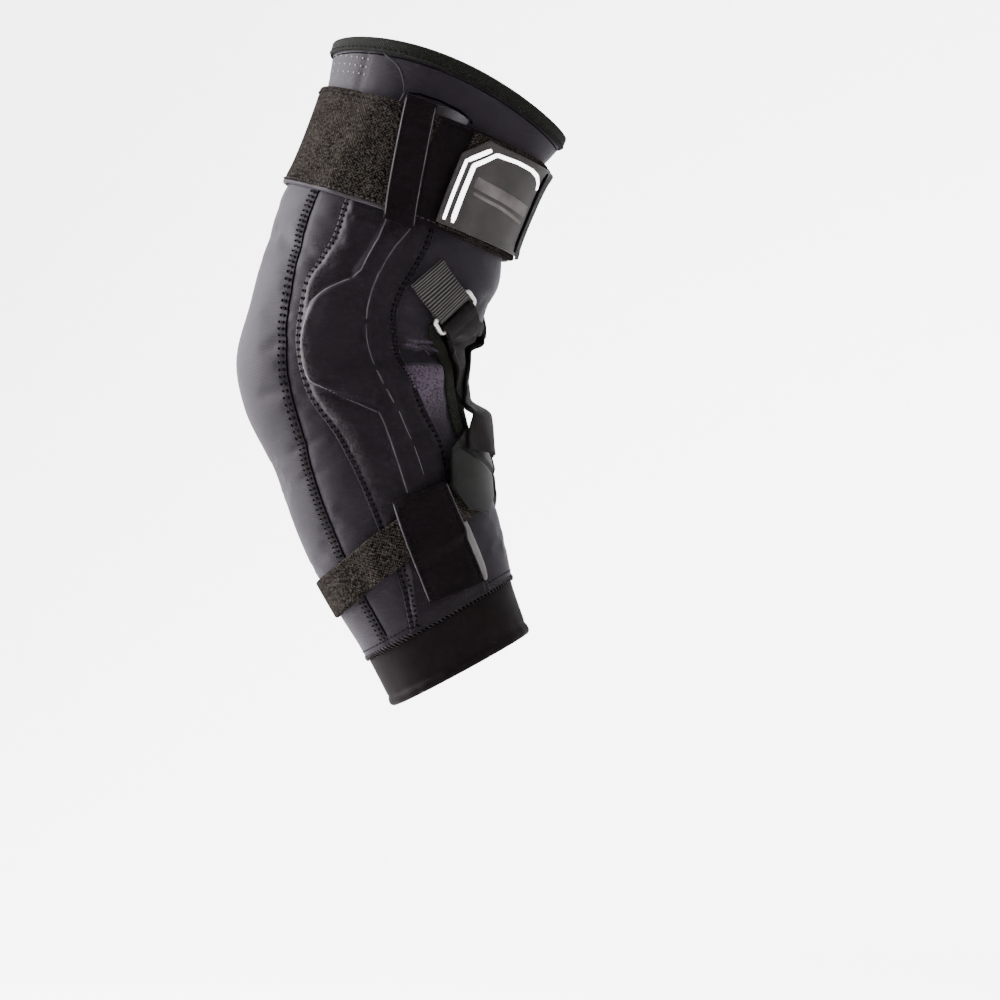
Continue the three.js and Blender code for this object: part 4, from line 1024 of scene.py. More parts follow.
def bare_parts(piece, length, turn_range, hem, materials):
    """Gives faces other finishes: one between two angles, one past a distance across."""
    uv = np.empty(len(piece.data.loops) * 2)
    piece.data.uv_layers["mm"].data.foreach_get("uv", uv)
    across, down = uv.reshape(-1, 4, 2).mean(1).T
    turn = down / length * 360
    smooth = (turn > turn_range[0]) & (turn < turn_range[1])
    index = np.where((across > hem) & (turn > turn_range[1]), 2, np.where(smooth, 1, 0))
    for material in materials:
        piece.data.materials.append(material)
    piece.data.polygons.foreach_set("material_index", index.astype(np.int32))
    print(f"{piece.name}: {int((index > 0).sum())} faces without pile")


# faces from 50 to 81 degrees get the dark band cloth as painted shade between plate and keeper
bare_parts(wide_strap, STRAP_LOOP, (50, 81), STRAP_WIDTH - 1.5, (BAND_AND_SHADE, HEM_AND_HIGHLIGHT))


def keeper_place(across, down):
    middle = 92 - 10 * down
    s = strap_middle(middle) + (2 * down - 1) * KEEPER_HALF
    return s, middle + (across - 0.5) * KEEPER_WIDTH / per_degree(s, middle)


keeper = laid(
    "keeper_band", keeper_place, on_strap, KEEPER_THICK, (KEEPER_WIDTH, 2 * KEEPER_HALF), BAND_AND_SHADE,
    step=0.9, edge=0.6,
)
finished(keeper, "cover", "strap_keeper")


def strap_end_place(across, down):
    angle = 66 - 108 * across
    return strap_middle(angle) + (2 * down - 1) * (STRAP_WIDTH / 2 - 1.4), angle


strap_end = laid(
    "strap_end_cloth", strap_end_place, on_strap, END_THICK, (88, 42.2), LOOP,
    step=1.6, edge=0.9, relief=hem_groove,
)
finished(strap_end, "loop_pile", "strap_end")


def label_place(across, down):
    start = np.interp(down, LABEL_CUT["down"], LABEL_CUT["start"])
    angle = start - across * (start - LABEL_FRONT)
    return strap_middle(angle) + (down - 0.5) * LABEL_HEIGHT, angle


def label_spot(points):
    """Places on the plate from millimetres in from its rear edge and up from its lower edge."""
    x, y = np.array(points, float).T
    angle = LABEL_REAR - x / per_degree(-87.0, 60.0)
    return strap_middle(angle) + LABEL_HEIGHT / 2 - y, angle


def label_low(s, angle):
    return upper_strap_top(s, angle) + END_THICK + GAP * 2.6


def label_relief(across, down, border):
    """A raised rim, a shallow pressed panel and two pressed lines near the plate's free end."""
    left = (1 - across) * LABEL_LENGTH
    lines = pressed(left - 9, 0.3, 0.5) + pressed(left - 12, 0.3, 0.5)
    return -0.25 * ease(border, 3.0, 3.8) - lines


label = laid(
    "plate_bare", label_place, label_low, LABEL_THICK, (LABEL_LENGTH, LABEL_HEIGHT), PLATE,
    step=0.7, edge=0.5, relief=label_relief,
)
finished(label, "plate", "label_plate")
bare_parts(label, LABEL_LENGTH, (0, 0), 45.2, (PLATE, STRAPPING))

# %% [markdown]
# ## Lines on a surface
#
# Stripes, welts and sewn edges are all one thing: a low rounded bead that follows a path of places.
# Stitches are short arched threads along such a path, each with its ends in the cloth. They are
# made for a whole path at once, as one array of stations round each thread.


# %% Beads and stitches
def along_path(s, angle, step):
    """Places at even distances along a path, and the distances."""
    s, angle = np.asarray(s, float), np.asarray(angle, float)
    fine = np.linspace(0, len(s) - 1, 40 * len(s))
    s, angle = np.interp(fine, np.arange(len(s)), s), np.interp(fine, np.arange(len(angle)), angle)
    gone = running(np.hypot(np.diff(s), np.diff(angle) * per_degree(s, angle)[1:]))
    count = max(2, round(gone[-1] / step) + 1)
    at = np.linspace(0, gone[-1], count)
    return np.interp(at, gone, s), np.interp(at, gone, angle), at


def bead(name, slot, s, angle, height, width, rise, material, step=0.8, sunk=0.25, tip=0.8):
    """A rounded line on a surface. Its height over the surface is rise times the square root of
    1 minus the squared share of its half width, and it narrows over the length of its tips."""
    s, angle, gone = along_path(s, angle, step)
    scale = per_degree(s, angle)
    along, aside = np.gradient(s), np.gradient(angle) * scale
    length = np.hypot(along, aside)
    share = np.array([-1, -0.85, -0.5, 0, 0.5, 0.85, 1])
    from_end = from_ends(gone)[:, None]
    narrow = 0.25 + 0.75 * rounded(from_end, tip)
    off = share * width / 2 * narrow
    at_s = s[:, None] - (aside / length)[:, None] * off
    at_angle = angle[:, None] + (along / length / scale)[:, None] * off
    arch = np.sqrt(1 - share**2) * rounded(from_end, min(tip, 0.8))
    surface = height(at_s, at_angle)
    top = on_limb(at_s, at_angle, surface + rise * arch - sunk * (1 - arch))
    under = on_limb(at_s, at_angle, surface - sunk)
    top[:, [0, -1]] = under[:, [0, -1]]
    return trim(two_sided(name, top, under, share * width / 2, gone, material))


def capped_rings(name, points, material):
    """Many small closed pieces in one mesh. Each is a row of rings, and a fan closes both ends."""
    pieces, rings, around = points.shape[:3]
    faces, row, column = grid_faces(rings, around, wrap_columns=True)
    fan = np.array([[0, k + 3, k + 2, k + 1] for k in range(0, around - 2, 2)])
    each = np.concatenate([faces, fan, fan[:, [0, 3, 2, 1]] + (rings - 1) * around])
    uv = np.concatenate([np.stack([row, column], -1), np.zeros((len(fan) * 2, 4, 2))]) * 0.3
    every = each + (np.arange(pieces) * rings * around)[:, None, None]
    uvs = np.tile(uv, (pieces, 1, 1))
    return trim(build(name, points, every.reshape(-1, 4), uvs, material))


def stitches(name, paths, material):
    """Threads along paths. A path has its places, the surface's height, the stitches' pitch,
    length, thickness and slant in degrees from the path, and the slant's sign may alternate."""
    around = (np.arange(6) * np.pi / 3)[:, None]
    q = np.array([-1, -0.8, -0.4, 0, 0.4, 0.8, 1])
    taper = np.array([0.35, 0.8, 1, 1, 1, 0.8, 0.35])
    tubes = []
    for s, angle, height, pitch, length, thick, slant, zigzag in paths:
        s, angle, _ = along_path(s, angle, pitch)
        scale = per_degree(s, angle)
        heading = np.arctan2(np.gradient(angle) * scale, np.gradient(s))
        turn = math.radians(slant) * (np.where(np.arange(len(s)) % 2, 1, -1) if zigzag else 1)
        reach = q[None] * length / 2
        at_s = s[:, None] + reach * np.cos(heading + turn)[:, None]
        at_angle = angle[:, None] + reach * (np.sin(heading + turn) / scale)[:, None]
        arch = (1 - q**2)[None] * thick * 0.9
        middle = on_limb(at_s, at_angle, height(at_s, at_angle) + arch - thick * 0.35)
        normal = outward_at(at_s, at_angle)
        aside = unit(np.cross(normal, np.gradient(middle, axis=1)))
        radius = (thick / 2 * taper)[None, :, None, None]
        ring = aside[:, :, None] * np.cos(around) + normal[:, :, None] * np.sin(around)
        tubes.append(middle[:, :, None] + radius * ring)
    return capped_rings(name, np.concatenate(tubes), material)


def studs(name, s, angle, height, radius, rise, material):
    """Low domes on a surface, one a place: rings of 8 points whose radius follows the sine of a
    turn and whose height follows its cosine."""
    turn = np.radians([100, 75, 50, 25])
    around = np.arange(8) * np.pi / 4
    outward = outward_at(s, angle)
    along = unit(on_limb(s + 0.5, angle) - on_limb(s - 0.5, angle))
    aside = np.cross(outward, along)
    middle = on_limb(s, angle, height(s, angle))
    flat = along[:, None] * np.cos(around)[:, None] + aside[:, None] * np.sin(around)[:, None]
    rings = middle[:, None, None] + radius * np.sin(turn)[:, None, None] * flat[:, None]
    rings = rings + rise * np.cos(turn)[:, None, None] * outward[:, None, None]
    return capped_rings(name, rings, material)


def line_of(rows, column, start, end, offset=0.0, side=1):
    """A path along a table's column from start to end, moved round by an offset in millimetres."""
    s = np.linspace(start, end, 60)
    by = "s" if "s" in rows else "along"
    angle = read(rows, s if by == "s" else share_along(s), column, by)
    return s, (angle + offset / per_degree(s, angle)) * side


def label_top(s, angle):
    return label_low(s, angle) + LABEL_THICK - 0.05


# spots on the plate, then width, rise, finish and tip
PLATE_LINES = {
    "stripe_outer": ([(2.4, 1.2), (2.4, 28.2), (10.4, 36.6)], 2.0, 0.12, STRIPE, 0.25),
    "stripe_inner": ([
        (5.8, 1.2), (5.8, 27.4), (13.6, 35.4), (24, 36.3), (33, 36.0), (38.5, 34.7), (42, 32.4),
        (43.8, 29.4),
    ], 2.0, 0.12, STRIPE, 0.25),
    "worn_band": ([(8.5, 21.5), (24, 20.5), (43, 19)], 5.2, 0.04, SMEAR, 0.4),
    "worn_line": ([(9.5, 16.8), (26, 15.6), (42, 13.6)], 1.6, 0.05, SMEAR, 0.4),
    "plate_end_welt": ([(45.5, 0.8), (46.5, 15), (45.5, 38.6)], 2.6, 0.5, DARK_LINE, 0.4),
}
for name, (spots, width, rise, finish, tip) in PLATE_LINES.items():
    bead(name, "plate", *label_spot(spots), label_top, width, rise, finish, tip=tip)
print(len(PLATE_LINES), "stripes, bands and welts on the plate")

# %% [markdown]
# ## Bindings and cuff
#
# The top rim and the hole over the crook are edged with tape folded over the cloth. Its section is
# a long U: flat on the outer face, round the edge, and flat on the inner face. The cuff is a smooth
# knit band that ends in a rolled hem.


# %% The folded tapes and the cuff
def fold_section(gap):
    """Middle line of a tape folded over an edge: how far in from the edge, and the height. A
    straight, half an ellipse round the wall's edge, and a straight back."""
    off = gap + TAPE_THICK / 2
    turn = np.linspace(0, np.pi, 11)
    straight = np.linspace(TAPE_REACH, 0, 7)[:-1]
    inward = np.concatenate([straight, -off * np.sin(turn), straight[::-1]])
    bend = (WALL / 2 + off) * np.cos(turn) - WALL / 2
    height = np.concatenate([straight * 0 + off, bend, straight * 0 - WALL - off])
    return inward, height


def folded_tape(name, node, middle, section, step):
    """A tape about its middle points, with rounded long edges."""
    inward, height = section
    gone = running(np.abs(np.diff(inward)) + 0.25)
    half = TAPE_THICK / 2 * rounded(from_ends(gone), 0.6)
    u = running(np.hypot(np.diff(inward), np.diff(height)))
    v = np.arange(len(middle) + 1) * step
    finished(thickened(name, middle, half, u, v, TAPE, wrap=True), "tape", node)


def make_top_binding():
    inward, height = fold_section(GAP)
    angle, inward_grid = np.meshgrid(np.arange(200) * 1.8, inward, indexing="ij")
    lump = 0.12 * np.sin(np.radians(angle) * 46) * np.exp(-((inward_grid - 3.4) / 0.8) ** 2)
    middle = on_limb(rim_top(angle) + inward_grid, angle, height + lump)
    folded_tape("rim_tape", "top_binding", middle, (inward, height), 1.6)


def window_loop():
    """The outline of the hole as a closed path of places, with its corners rounded."""
    share = np.concatenate([[0, 0.03, 0.08], np.linspace(0.12, 0.9, 20), [0.97, 1]])
    s = WINDOW_TOP + share * (WINDOW_BOTTOM - WINDOW_TOP)
    half = window_edge(share)
    loop_s = np.concatenate([s, s[::-1], s[:1]])
    loop_angle = np.concatenate([half, -half[::-1], half[:1]])
    at_s, at_angle, _ = along_path(loop_s, loop_angle, 1.1)
    at_s, at_angle = at_s[:-1], at_angle[:-1]
    for _ in range(4):
        at_s = (np.roll(at_s, 1) + 2 * at_s + np.roll(at_s, -1)) / 4
        at_angle = (np.roll(at_angle, 1) + 2 * at_angle + np.roll(at_angle, -1)) / 4
    return at_s, at_angle


def away_from(s, angle, closed):
    """Unit direction on the surface at right angles to a path, to its left seen from outside."""
    points = on_limb(s, angle)
    step = np.roll(points, -1, 0) - np.roll(points, 1, 0) if closed else np.gradient(points, axis=0)
    return unit(np.cross(unit(step), outward_at(s, angle)))


def make_window_binding():
    s, angle = window_loop()
    away = away_from(s, angle, True)
    centre = on_limb(s.mean(), 0.0)
    if ((on_limb(s, angle) - centre) * away).sum() < 0:
        away = -away
    inward, height = fold_section(TAPE_GAP)
    at_s, at_angle = walk(s[:, None], angle[:, None], away[:, None], inward[None])
    middle = on_limb(at_s, at_angle, np.broadcast_to(height, at_s.shape))
    folded_tape("crook_tape", "window_binding", middle, (inward, height), 1.1)


def make_cuff():
    """A band of 2.4 mm whose lower end swells to a rolled hem of 3.8 mm."""
    length, band_half = 23.5, 1.2
    down = spaced(length, 0.9, 1.6)
    angle, share = np.meshgrid(np.arange(180) * 2.0, down, indexing="ij")
    start = cuff_seam(angle) + GAP
    s = start + share * (rim_bottom(angle) - start)
    left = (1 - down) * length
    half = np.where(left < 5, band_half + 0.7 * ease(5 - left, 0, 2.4), band_half)
    half = half * rounded(left, 1.9) * rounded(down * length, 1.0)
    half = half - pressed(left - 5.4, 0.25, 0.5) * rounded(left, 1.9)
    turn = np.radians(angle)
    ripple = 0.15 * np.sin(turn * 9 + 1.7) * np.sin(share * 3.1)
    ripple = ripple + 0.1 * np.sin(turn * 23) * share**2
    middle = on_limb(s, angle, -WALL + band_half + ripple)
    u, v = down * length, np.arange(181) * 1.3
    piece = thickened("cuff_band", middle, np.maximum(half, 0), u, v, KNIT, wrap=True)
    finished(piece, "knit", "bottom_cuff")


make_top_binding()
make_window_binding()
make_cuff()

# %% [markdown]
# ## Rings and the straps on them
#
# Two wire rings each hold a short elastic webbing at the back and a cross strap at the front. Cloth
# goes round a ring's bar and back under itself, so the middle line of such a strap is a path in two
# coordinates, the distance past the bar and the height: in below, round the bar, and out above.
# From there the strap settles onto the limb, crosses the other one, and ends on the far side's tab.

# %% Ring frames and rings
RING_LONG, RING_SHORT, RING_WIRE = 23, 9, 2.2
BAR_OFFSET = (RING_SHORT - RING_WIRE) / 2
RING_S, RING_ANGLE, PULL_TURN = -0.29 * UPPER_LENGTH, 42, math.radians(55)
CROSS_THICK, CROSS_WIDTH = 1.3, 17.5


def ring_frame(side):
    """A ring's centre, the direction of its long side, of the pull on it, and outwards."""
    outward = outward_at(RING_S, RING_ANGLE * side)
    down = unit(on_limb(RING_S + 1, RING_ANGLE * side) - on_limb(RING_S - 1, RING_ANGLE * side))
    to_front = np.cross(outward, down) * side
    pull = math.cos(PULL_TURN) * down + math.sin(PULL_TURN) * to_front
    outward = unit(outward - (outward @ pull) * pull)
    return on_limb(RING_S, RING_ANGLE * side, 4.9), unit(np.cross(pull, outward)), pull, outward


def in_frame(ring, along, pulled, height):
    """Points in a ring's frame."""
    centre, long, pull, outward = ring
    along, pulled, height = (np.asarray(x, float)[..., None] for x in (along, pulled, height))
    return centre + along * long + pulled * pull + height * outward


def make_ring(side, name):
    """A wire bent into a rectangle whose corners are quarter circles."""
    bend = RING_WIRE * 0.7
    half_long, half_short = (RING_LONG - RING_WIRE) / 2 - bend, BAR_OFFSET - bend
    turn = np.concatenate([np.linspace(k, k + 1, 9) for k in range(4)]) * np.pi / 2
    corner = np.repeat(np.arange(4), 9)
    along = np.where((corner == 0) | (corner == 3), half_long, -half_long)[:, None]
    pulled = np.where(corner < 2, half_short, -half_short)[:, None]
    around = np.arange(14) * 2 * np.pi / 14
    out = bend + RING_WIRE / 2 * np.cos(around)[None]
    points = in_frame(
        ring_frame(side), along + out * np.cos(turn)[:, None], pulled + out * np.sin(turn)[:, None],
        np.broadcast_to(RING_WIRE / 2 * np.sin(around), (36, 14)),
    )
    faces, row, column = grid_faces(36, 14, wrap_rows=True, wrap_columns=True)
    piece = build(f"ring_wire_{name}", points, faces, np.stack([column * 0.5, row * 1.6], -1), WIRE)
    finished(piece, "wire", f"ring_{name}")


for side, name in SIDES:
    make_ring(side, name)


# %% Webbing and cross straps
def round_bar(thick, tail, out):
    """The path of a strap's middle line: in from the tail below the bar, round it and out above."""
    radius = RING_WIRE / 2 + 0.3 + thick / 2
    layer = thick * 0.54

    def away(d):
        return layer + (radius * 0.88 - layer) * (1 - ease(d, 1.0, 4.6))

    turn = np.radians(np.linspace(-62, -298, 17))
    arc = radius * np.stack([np.cos(turn), np.sin(turn)], -1)
    below = [(d, -away(d)) for d in np.arange(tail, 1.4, -0.45)]
    above = [(d, away(d) * (1 - ease(d, tail, tail + 3))) for d in np.arange(1.45, out, 0.45)]
    return np.concatenate([below, arc, above]).T


def band_border(distance, height, shares):
    """Distance gone along a band's middle line, and each point's distance from its border."""
    gone = running(np.hypot(np.diff(distance), np.diff(height)))
    return gone, np.minimum((0.5 - np.abs(shares)) * CROSS_WIDTH, from_ends(gone)[:, None])


def make_webbing(side, name):
    ring = ring_frame(side)
    length, thick, bow = 16, 1.3, 0.4
    distance, height = round_bar(thick, length, length)
    scale = per_degree(RING_S, RING_ANGLE)
    shares = spaced(CROSS_WIDTH, 1.0, 0.5) - 0.5
    height = np.where((height > 0) & (distance > length - 3), thick * 0.54, height)
    settled = ease(distance, 2.5, length - 4)
    back = BAR_OFFSET + distance
    s = RING_S - back * math.cos(PULL_TURN)
    angle = (RING_ANGLE + back * math.sin(PULL_TURN) / scale) * side
    sewn = on_limb(s, angle, GAP * 1.5 + thick + bow)
    outward = unit(ring[3] + (outward_at(s, angle) - ring[3]) * settled[:, None])
    across = unit(ring[1] - (outward @ ring[1])[:, None] * outward)
    middle = in_frame(ring, 0 * back, -back, 0 * back)
    middle = middle + (sewn - middle) * settled[:, None] + outward * height[:, None]
    points = middle[:, None] + across[:, None] * (shares * CROSS_WIDTH)[None, :, None]
    sag = bow * settled[:, None] * (shares * 2)[None] ** 2
    points = points - outward[:, None] * sag[..., None]
    gone, border = band_border(distance, height, shares)
    ribs_out = 0.13 * np.sin(2 * np.pi * gone / 1.05)[:, None]
    half = (thick / 2 - 0.13 + ribs_out) * rounded(border, 0.5)
    piece = thickened(f"elastic_{name}", points, half, (shares + 0.5) * CROSS_WIDTH, gone, ELASTIC)
    finished(piece, "webbing", f"webbing_{name}")


def tab_place(across, down, side):
    """A place on a grip tab by shares of its half width and half length."""
    x, y = across * TAB_WIDTH / 2, down * TAB_LENGTH / 2
    s = TAB_S + y * math.cos(TAB_TURN) - x * math.sin(TAB_TURN)
    aside = y * math.sin(TAB_TURN) + x * math.cos(TAB_TURN)
    return s, (TAB_ANGLE + aside / per_degree(TAB_S, TAB_ANGLE)) * side


def tab_shares(s, angle):
    """Undoes tab_place: the shares of the tab's half width and half length at a place."""
    along = s - TAB_S
    aside = (sideless(angle) - TAB_ANGLE) * per_degree(TAB_S, TAB_ANGLE)
    x = aside * math.cos(TAB_TURN) - along * math.sin(TAB_TURN)
    y = along * math.cos(TAB_TURN) + aside * math.sin(TAB_TURN)
    return x / TAB_WIDTH * 2, y / TAB_LENGTH * 2


def smooth_terms(x, y):
    return np.stack([np.ones_like(x), x, y, x * x, x * y, y * y], -1)


def fit_tab():
    """A tab is stiff, so its underside is the paraboloid nearest to what it lies on."""
    x, y = (grid.ravel() for grid in np.meshgrid(np.linspace(-1, 1, 25), np.linspace(-1, 1, 25)))
    lies_on = tab_low(*tab_place(x, y, 1))
    terms = np.linalg.lstsq(smooth_terms(x, y), lies_on, rcond=None)[0]
    left = smooth_terms(x, y) @ terms - lies_on
    print(f"a tab is {left.min():.2f} to {left.max():.2f} mm from what it lies on")
    return terms


TAB_TERMS = fit_tab()


def stiff_low(s, angle):
    x, y = tab_shares(s, angle)
    return smooth_terms(np.clip(x, -1.1, 1.1), np.clip(y, -1.1, 1.1)) @ TAB_TERMS


def cross_height(s, angle, over):
    """Height of a cross strap's middle: sunk in the hole, then over the tape, then on the tab."""
    share, surface = window_share(s), on_limb(s, angle)
    inner = (window_edge(share) - sideless(angle)) * per_degree(s, angle)
    for end, outside in ((WINDOW_TOP, share < 0), (WINDOW_BOTTOM, share > 1)):
        away = np.linalg.norm(surface - on_limb(end, angle), axis=-1)
        inner = np.minimum(inner, np.where(outside, 0, away))
    inside = ease(inner, 2.5, 9)
    over_tape = TAPE_GAP + TAPE_THICK + GAP + CROSS_THICK / 2
    on_tab = stiff_low(s, angle) + TAB_THICK + GAP * 2 + CROSS_THICK / 2
    tab_top = TAB_S - TAB_LENGTH / 2
    bed = over_tape + (-CROSS_THICK * 1.5 - 1 - over_tape) * inside
    bed = bed + (on_tab - bed) * ease(s, tab_top - 14, tab_top - 3)
    return bed + over * (CROSS_THICK + 1) * (1 - ease(sideless(angle), 18, 32))


CROSS_PATH = table("along angle", [
    (-0.175, -26), (0.09, -13.5), (0.237, 0), (0.3, 11), (0.372, 22),
])


def cross_route(ring_side):
    """The strap's route as places: a smooth curve through its table from ring to tab."""
    scale = per_degree(RING_S, RING_ANGLE)
    start = [BAR_OFFSET, BAR_OFFSET + 6]
    s = [RING_S + d * math.cos(PULL_TURN) for d in start]
    angle = [-(RING_ANGLE - d * math.sin(PULL_TURN) / scale) for d in start]
    end_s, end_angle = tab_place(-0.1, -0.42, 1)
    along = CROSS_PATH["along"]
    s += list(np.where(along < 0, along * UPPER_LENGTH, along * FORE_LENGTH)) + [end_s]
    angle += list(CROSS_PATH["angle"]) + [end_angle]
    knots = running(np.hypot(np.diff(s), 0.75 * np.diff(angle)))
    rows = {"gone": knots, "s": np.array(s), "angle": np.array(angle)}
    fine = np.linspace(0, knots[-1], 200)
    fine_s = read(rows, fine, "s", "gone")
    fine_angle = read(rows, fine, "angle", "gone") * -ring_side
    points = on_limb(fine_s, fine_angle)
    gone = running(np.linalg.norm(np.diff(points, axis=0), axis=1))
    return fine_s, fine_angle, gone


def make_cross_strap(letter, ring_side, over):
    ring = ring_frame(ring_side)
    fine_s, fine_angle, gone = cross_route(ring_side)
    distance, height = round_bar(CROSS_THICK, 12, gone[-1])
    away = -away_from(fine_s, fine_angle, False)
    at = np.maximum(distance, 0)
    s, angle = np.interp(at, gone, fine_s), np.interp(at, gone, fine_angle)
    direction = unit(np.stack([np.interp(at, gone, away[:, k]) for k in range(3)], -1))
    shares = spaced(CROSS_WIDTH, 1.0, 0.5) - 0.5
    off = shares[None] * CROSS_WIDTH
    spot_s, spot_angle = walk(s[:, None], angle[:, None], direction[:, None], off)
    laid_at = on_limb(spot_s, spot_angle, cross_height(spot_s, spot_angle, over) + height[:, None])
    sign = np.where((direction @ ring[1]) < 0, -1, 1)[:, None]
    held_at = in_frame(
        ring, sign * off,
        np.broadcast_to((BAR_OFFSET + distance)[:, None], spot_s.shape),
        np.broadcast_to(height[:, None], spot_s.shape),
    )
    points = held_at + (laid_at - held_at) * ease(distance, 3, 14)[:, None, None]
    along, border = band_border(distance, height, shares)
    half = CROSS_THICK / 2 * rounded(border, 0.5)
    width = (shares + 0.5) * CROSS_WIDTH
    piece = thickened(f"crossing_{letter}", points, half, width, along, STRAPPING)
    finished(piece, "webbing", f"cross_strap_{letter}")


for side, name in SIDES:
    make_webbing(side, name)
make_cross_strap("a", 1, over=0)
make_cross_strap("b", -1, over=1)

# %% [markdown]
# ## Tabs, forearm strap and patches
#
# A grip tab is a six-sided moulded piece, so its grid narrows towards both ends. The forearm strap
# runs from tab to tab round the back. A cloth patch on each cover holds it down.


# %% Tabs, forearm strap and patches
def tab_half(share):
    """Half the tab's width as a share, full in the middle and 0.45 at both ends."""
    return 1 - 0.55 * np.clip((np.abs(share) - 0.45) / 0.55, 0, 1)


def tab_relief(across, down, border):
    """Two folds across the tab: a sharp one near its upper end and a low one below the middle."""
    share = 2 * down - 1
    x = (2 * across - 1) * tab_half(share)
    upper, lower = share + 0.42 + 0.30 * x, share - 0.12 - 0.34 * x
    step = 0.55 * ease(-upper, -0.02, 0.06)
    ridge = 0.5 * np.maximum(0, 1 - np.abs(lower) / 0.5) - 0.35 * np.maximum(0, lower)
    return step + ridge - pressed(upper * TAB_LENGTH / 2 - 1.2, 0.5, 0.7)


def make_tab(side, name):
    def place(across, down):
        share = 2 * down - 1
        return tab_place((2 * across - 1) * tab_half(share), share, side)

    piece = laid(
        f"grip_{name}", place, stiff_low, TAB_THICK, (TAB_WIDTH, TAB_LENGTH), TAB,
        step=0.6, edge=0.6, relief=tab_relief,
    )
    finished(piece, "tab", f"strap_tab_{name}")


for side, name in SIDES:
    make_tab(side, name)


def forearm_place(across, down):
    angle = FORE_STRAP_END + (360 - 2 * FORE_STRAP_END) * down
    return forearm_middle(angle) + (across - 0.5) * FORE_STRAP_WIDTH, angle


forearm_strap = laid(
    "narrow_strap", forearm_place, on_bed, FORE_STRAP_THICK, (FORE_STRAP_WIDTH, 215), LOOP,
    step=1.3, edge=0.9,
)
finished(forearm_strap, "loop_pile", "forearm_strap")
PATCH_WIDTH, PATCH_LENGTH, PATCH_THICK = 24, 46, 1.2
PATCH_TOP = 0.612 * FORE_LENGTH - PATCH_LENGTH / 2


def patch_edges(down):
    return 56 - 7 * down, 85 + down


def patch_low(s, angle):
    return forearm_strap_top(s, angle) + GAP


def patch_relief(across, down, border):
    """A pressed line 2 mm inside the edge, and a slow wave over the rest."""
    wave = 0.12 * np.sin(across * 9 + down * 4) * ease(border, 3, 8)
    return -pressed(border - 2.0, 0.3, 0.5) + wave


def make_patch(side, name):
    def place(across, down):
        front, rear = patch_edges(down)
        return PATCH_TOP + down * PATCH_LENGTH, (front + across * (rear - front)) * side

    piece = laid(
        f"patch_{name}", place, patch_low, PATCH_THICK, (PATCH_WIDTH, PATCH_LENGTH), BAND_AND_SHADE,
        step=0.8, edge=0.6, relief=patch_relief,
    )
    finished(piece, "cover", f"forearm_patch_{name}")


for side, name in SIDES:
    make_patch(side, name)

# %% [markdown]
# ## Seams and small trim
#
# Last come the threads: two dark rows and one of slanted pale stitches beside each rear seam, rows
# along each edge of the covers, overlock over the cuff's seam, zigzags along the patches and the
# covers' lower ends, and rows on the wide strap, the sleeve's end and the top tape. All dark
# threads are one mesh, and so are all pale ones.


# %% Stitched lines
full_turn = np.linspace(0, 360, 120)
# each row has a path, its surface, and the stitches' pitch, length, thickness, slant and zigzag
dark_rows, pale_rows = [], []


def patch_top(s, angle):
    return patch_low(s, angle) + PATCH_THICK


def strap_top(s, angle):
    return on_bed(s, angle) + STRAP_THICK


def binding_top(s, angle):
    return np.zeros_like(s) + 1.45


def wall_top(s, angle):
    return np.zeros_like(s) + 0.1


for side, _ in SIDES:
    for offset in (1.5, 3.7):
        path = line_of(REAR_SEAM, "angle", -64, 118, offset, side)
        dark_rows.append((*path, sleeve_top, 2.2, 1.0, 0.9, 0, False))
    path = line_of(REAR_SEAM, "angle", -64, 118, 2.6, side)
    pale_rows.append((*path, sleeve_top, 2.2, 2.3, 0.42, -42, False))
    for column, offset, end in (("front", 2.2, 78), ("rear", -2.2, 118)):
        s, angle = line_of(COVER_OUTLINE, column, -64, end, offset, side)
        dark_rows.append((s, angle, cover_top, 2.5, 1.5, 0.85, 0, False))
        outside = angle - np.sign(offset) * side * 1.6
        dark_rows.append((s, outside, cover_top, 2.5, 0.9, 0.7, 0, False))
    down = np.linspace(0.03, 0.97, 40)
    front, rear = patch_edges(down)
    for edge, offset in ((front, 1.7), (rear, -1.7)):
        path = PATCH_TOP + down * PATCH_LENGTH, (edge + offset / 0.72) * side
        dark_rows.append((*path, patch_top, 1.6, 1.4, 0.4, 50, True))
    path = line_of(COVER_OUTLINE, "rear", 92, 118, -4.4, side)
    dark_rows.append((*path, cover_top, 2.3, 2.0, 0.9, 55, True))
    path = line_of(COVER_OUTLINE, "front", 78, 111, -0.7, side)
    dark_rows.append((*path, sleeve_top, 2.2, 1.7, 0.8, 30, True))
    path = line_of(COVER_OUTLINE, "front", 78, 111, -1.0, side)
    pale_rows.append((*path, sleeve_top, 3.3, 1.2, 0.8, 0, True))
middle, seam_s = strap_middle(full_turn), cuff_seam(full_turn)
for rows, s, surface, form in (
    (pale_rows, middle + STRAP_WIDTH / 2 - 2.3, strap_top, (2.4, 1.5, 0.55, 0)),
    (dark_rows, middle - STRAP_WIDTH / 2 + 2.5, strap_top, (3.0, 2.1, 0.5, 0)),
    (pale_rows, seam_s - 0.2, wall_top, (2.0, 3.4, 0.5, 52)),
    (dark_rows, seam_s - 3.4, sleeve_top, (2.4, 1.9, 0.45, 0)),
    (dark_rows, rim_top(full_turn) + 3.6, binding_top, (2.6, 1.9, 0.45, 0)),
):
    rows.append((s, full_turn, surface, *form, False))
for piece in (
    stitches("threads_dark", dark_rows, THREAD),
    stitches("threads_pale", pale_rows, PALE_THREAD),
):
    print(f"{piece.name}: {len(piece.data.polygons) * 2} triangles of thread")

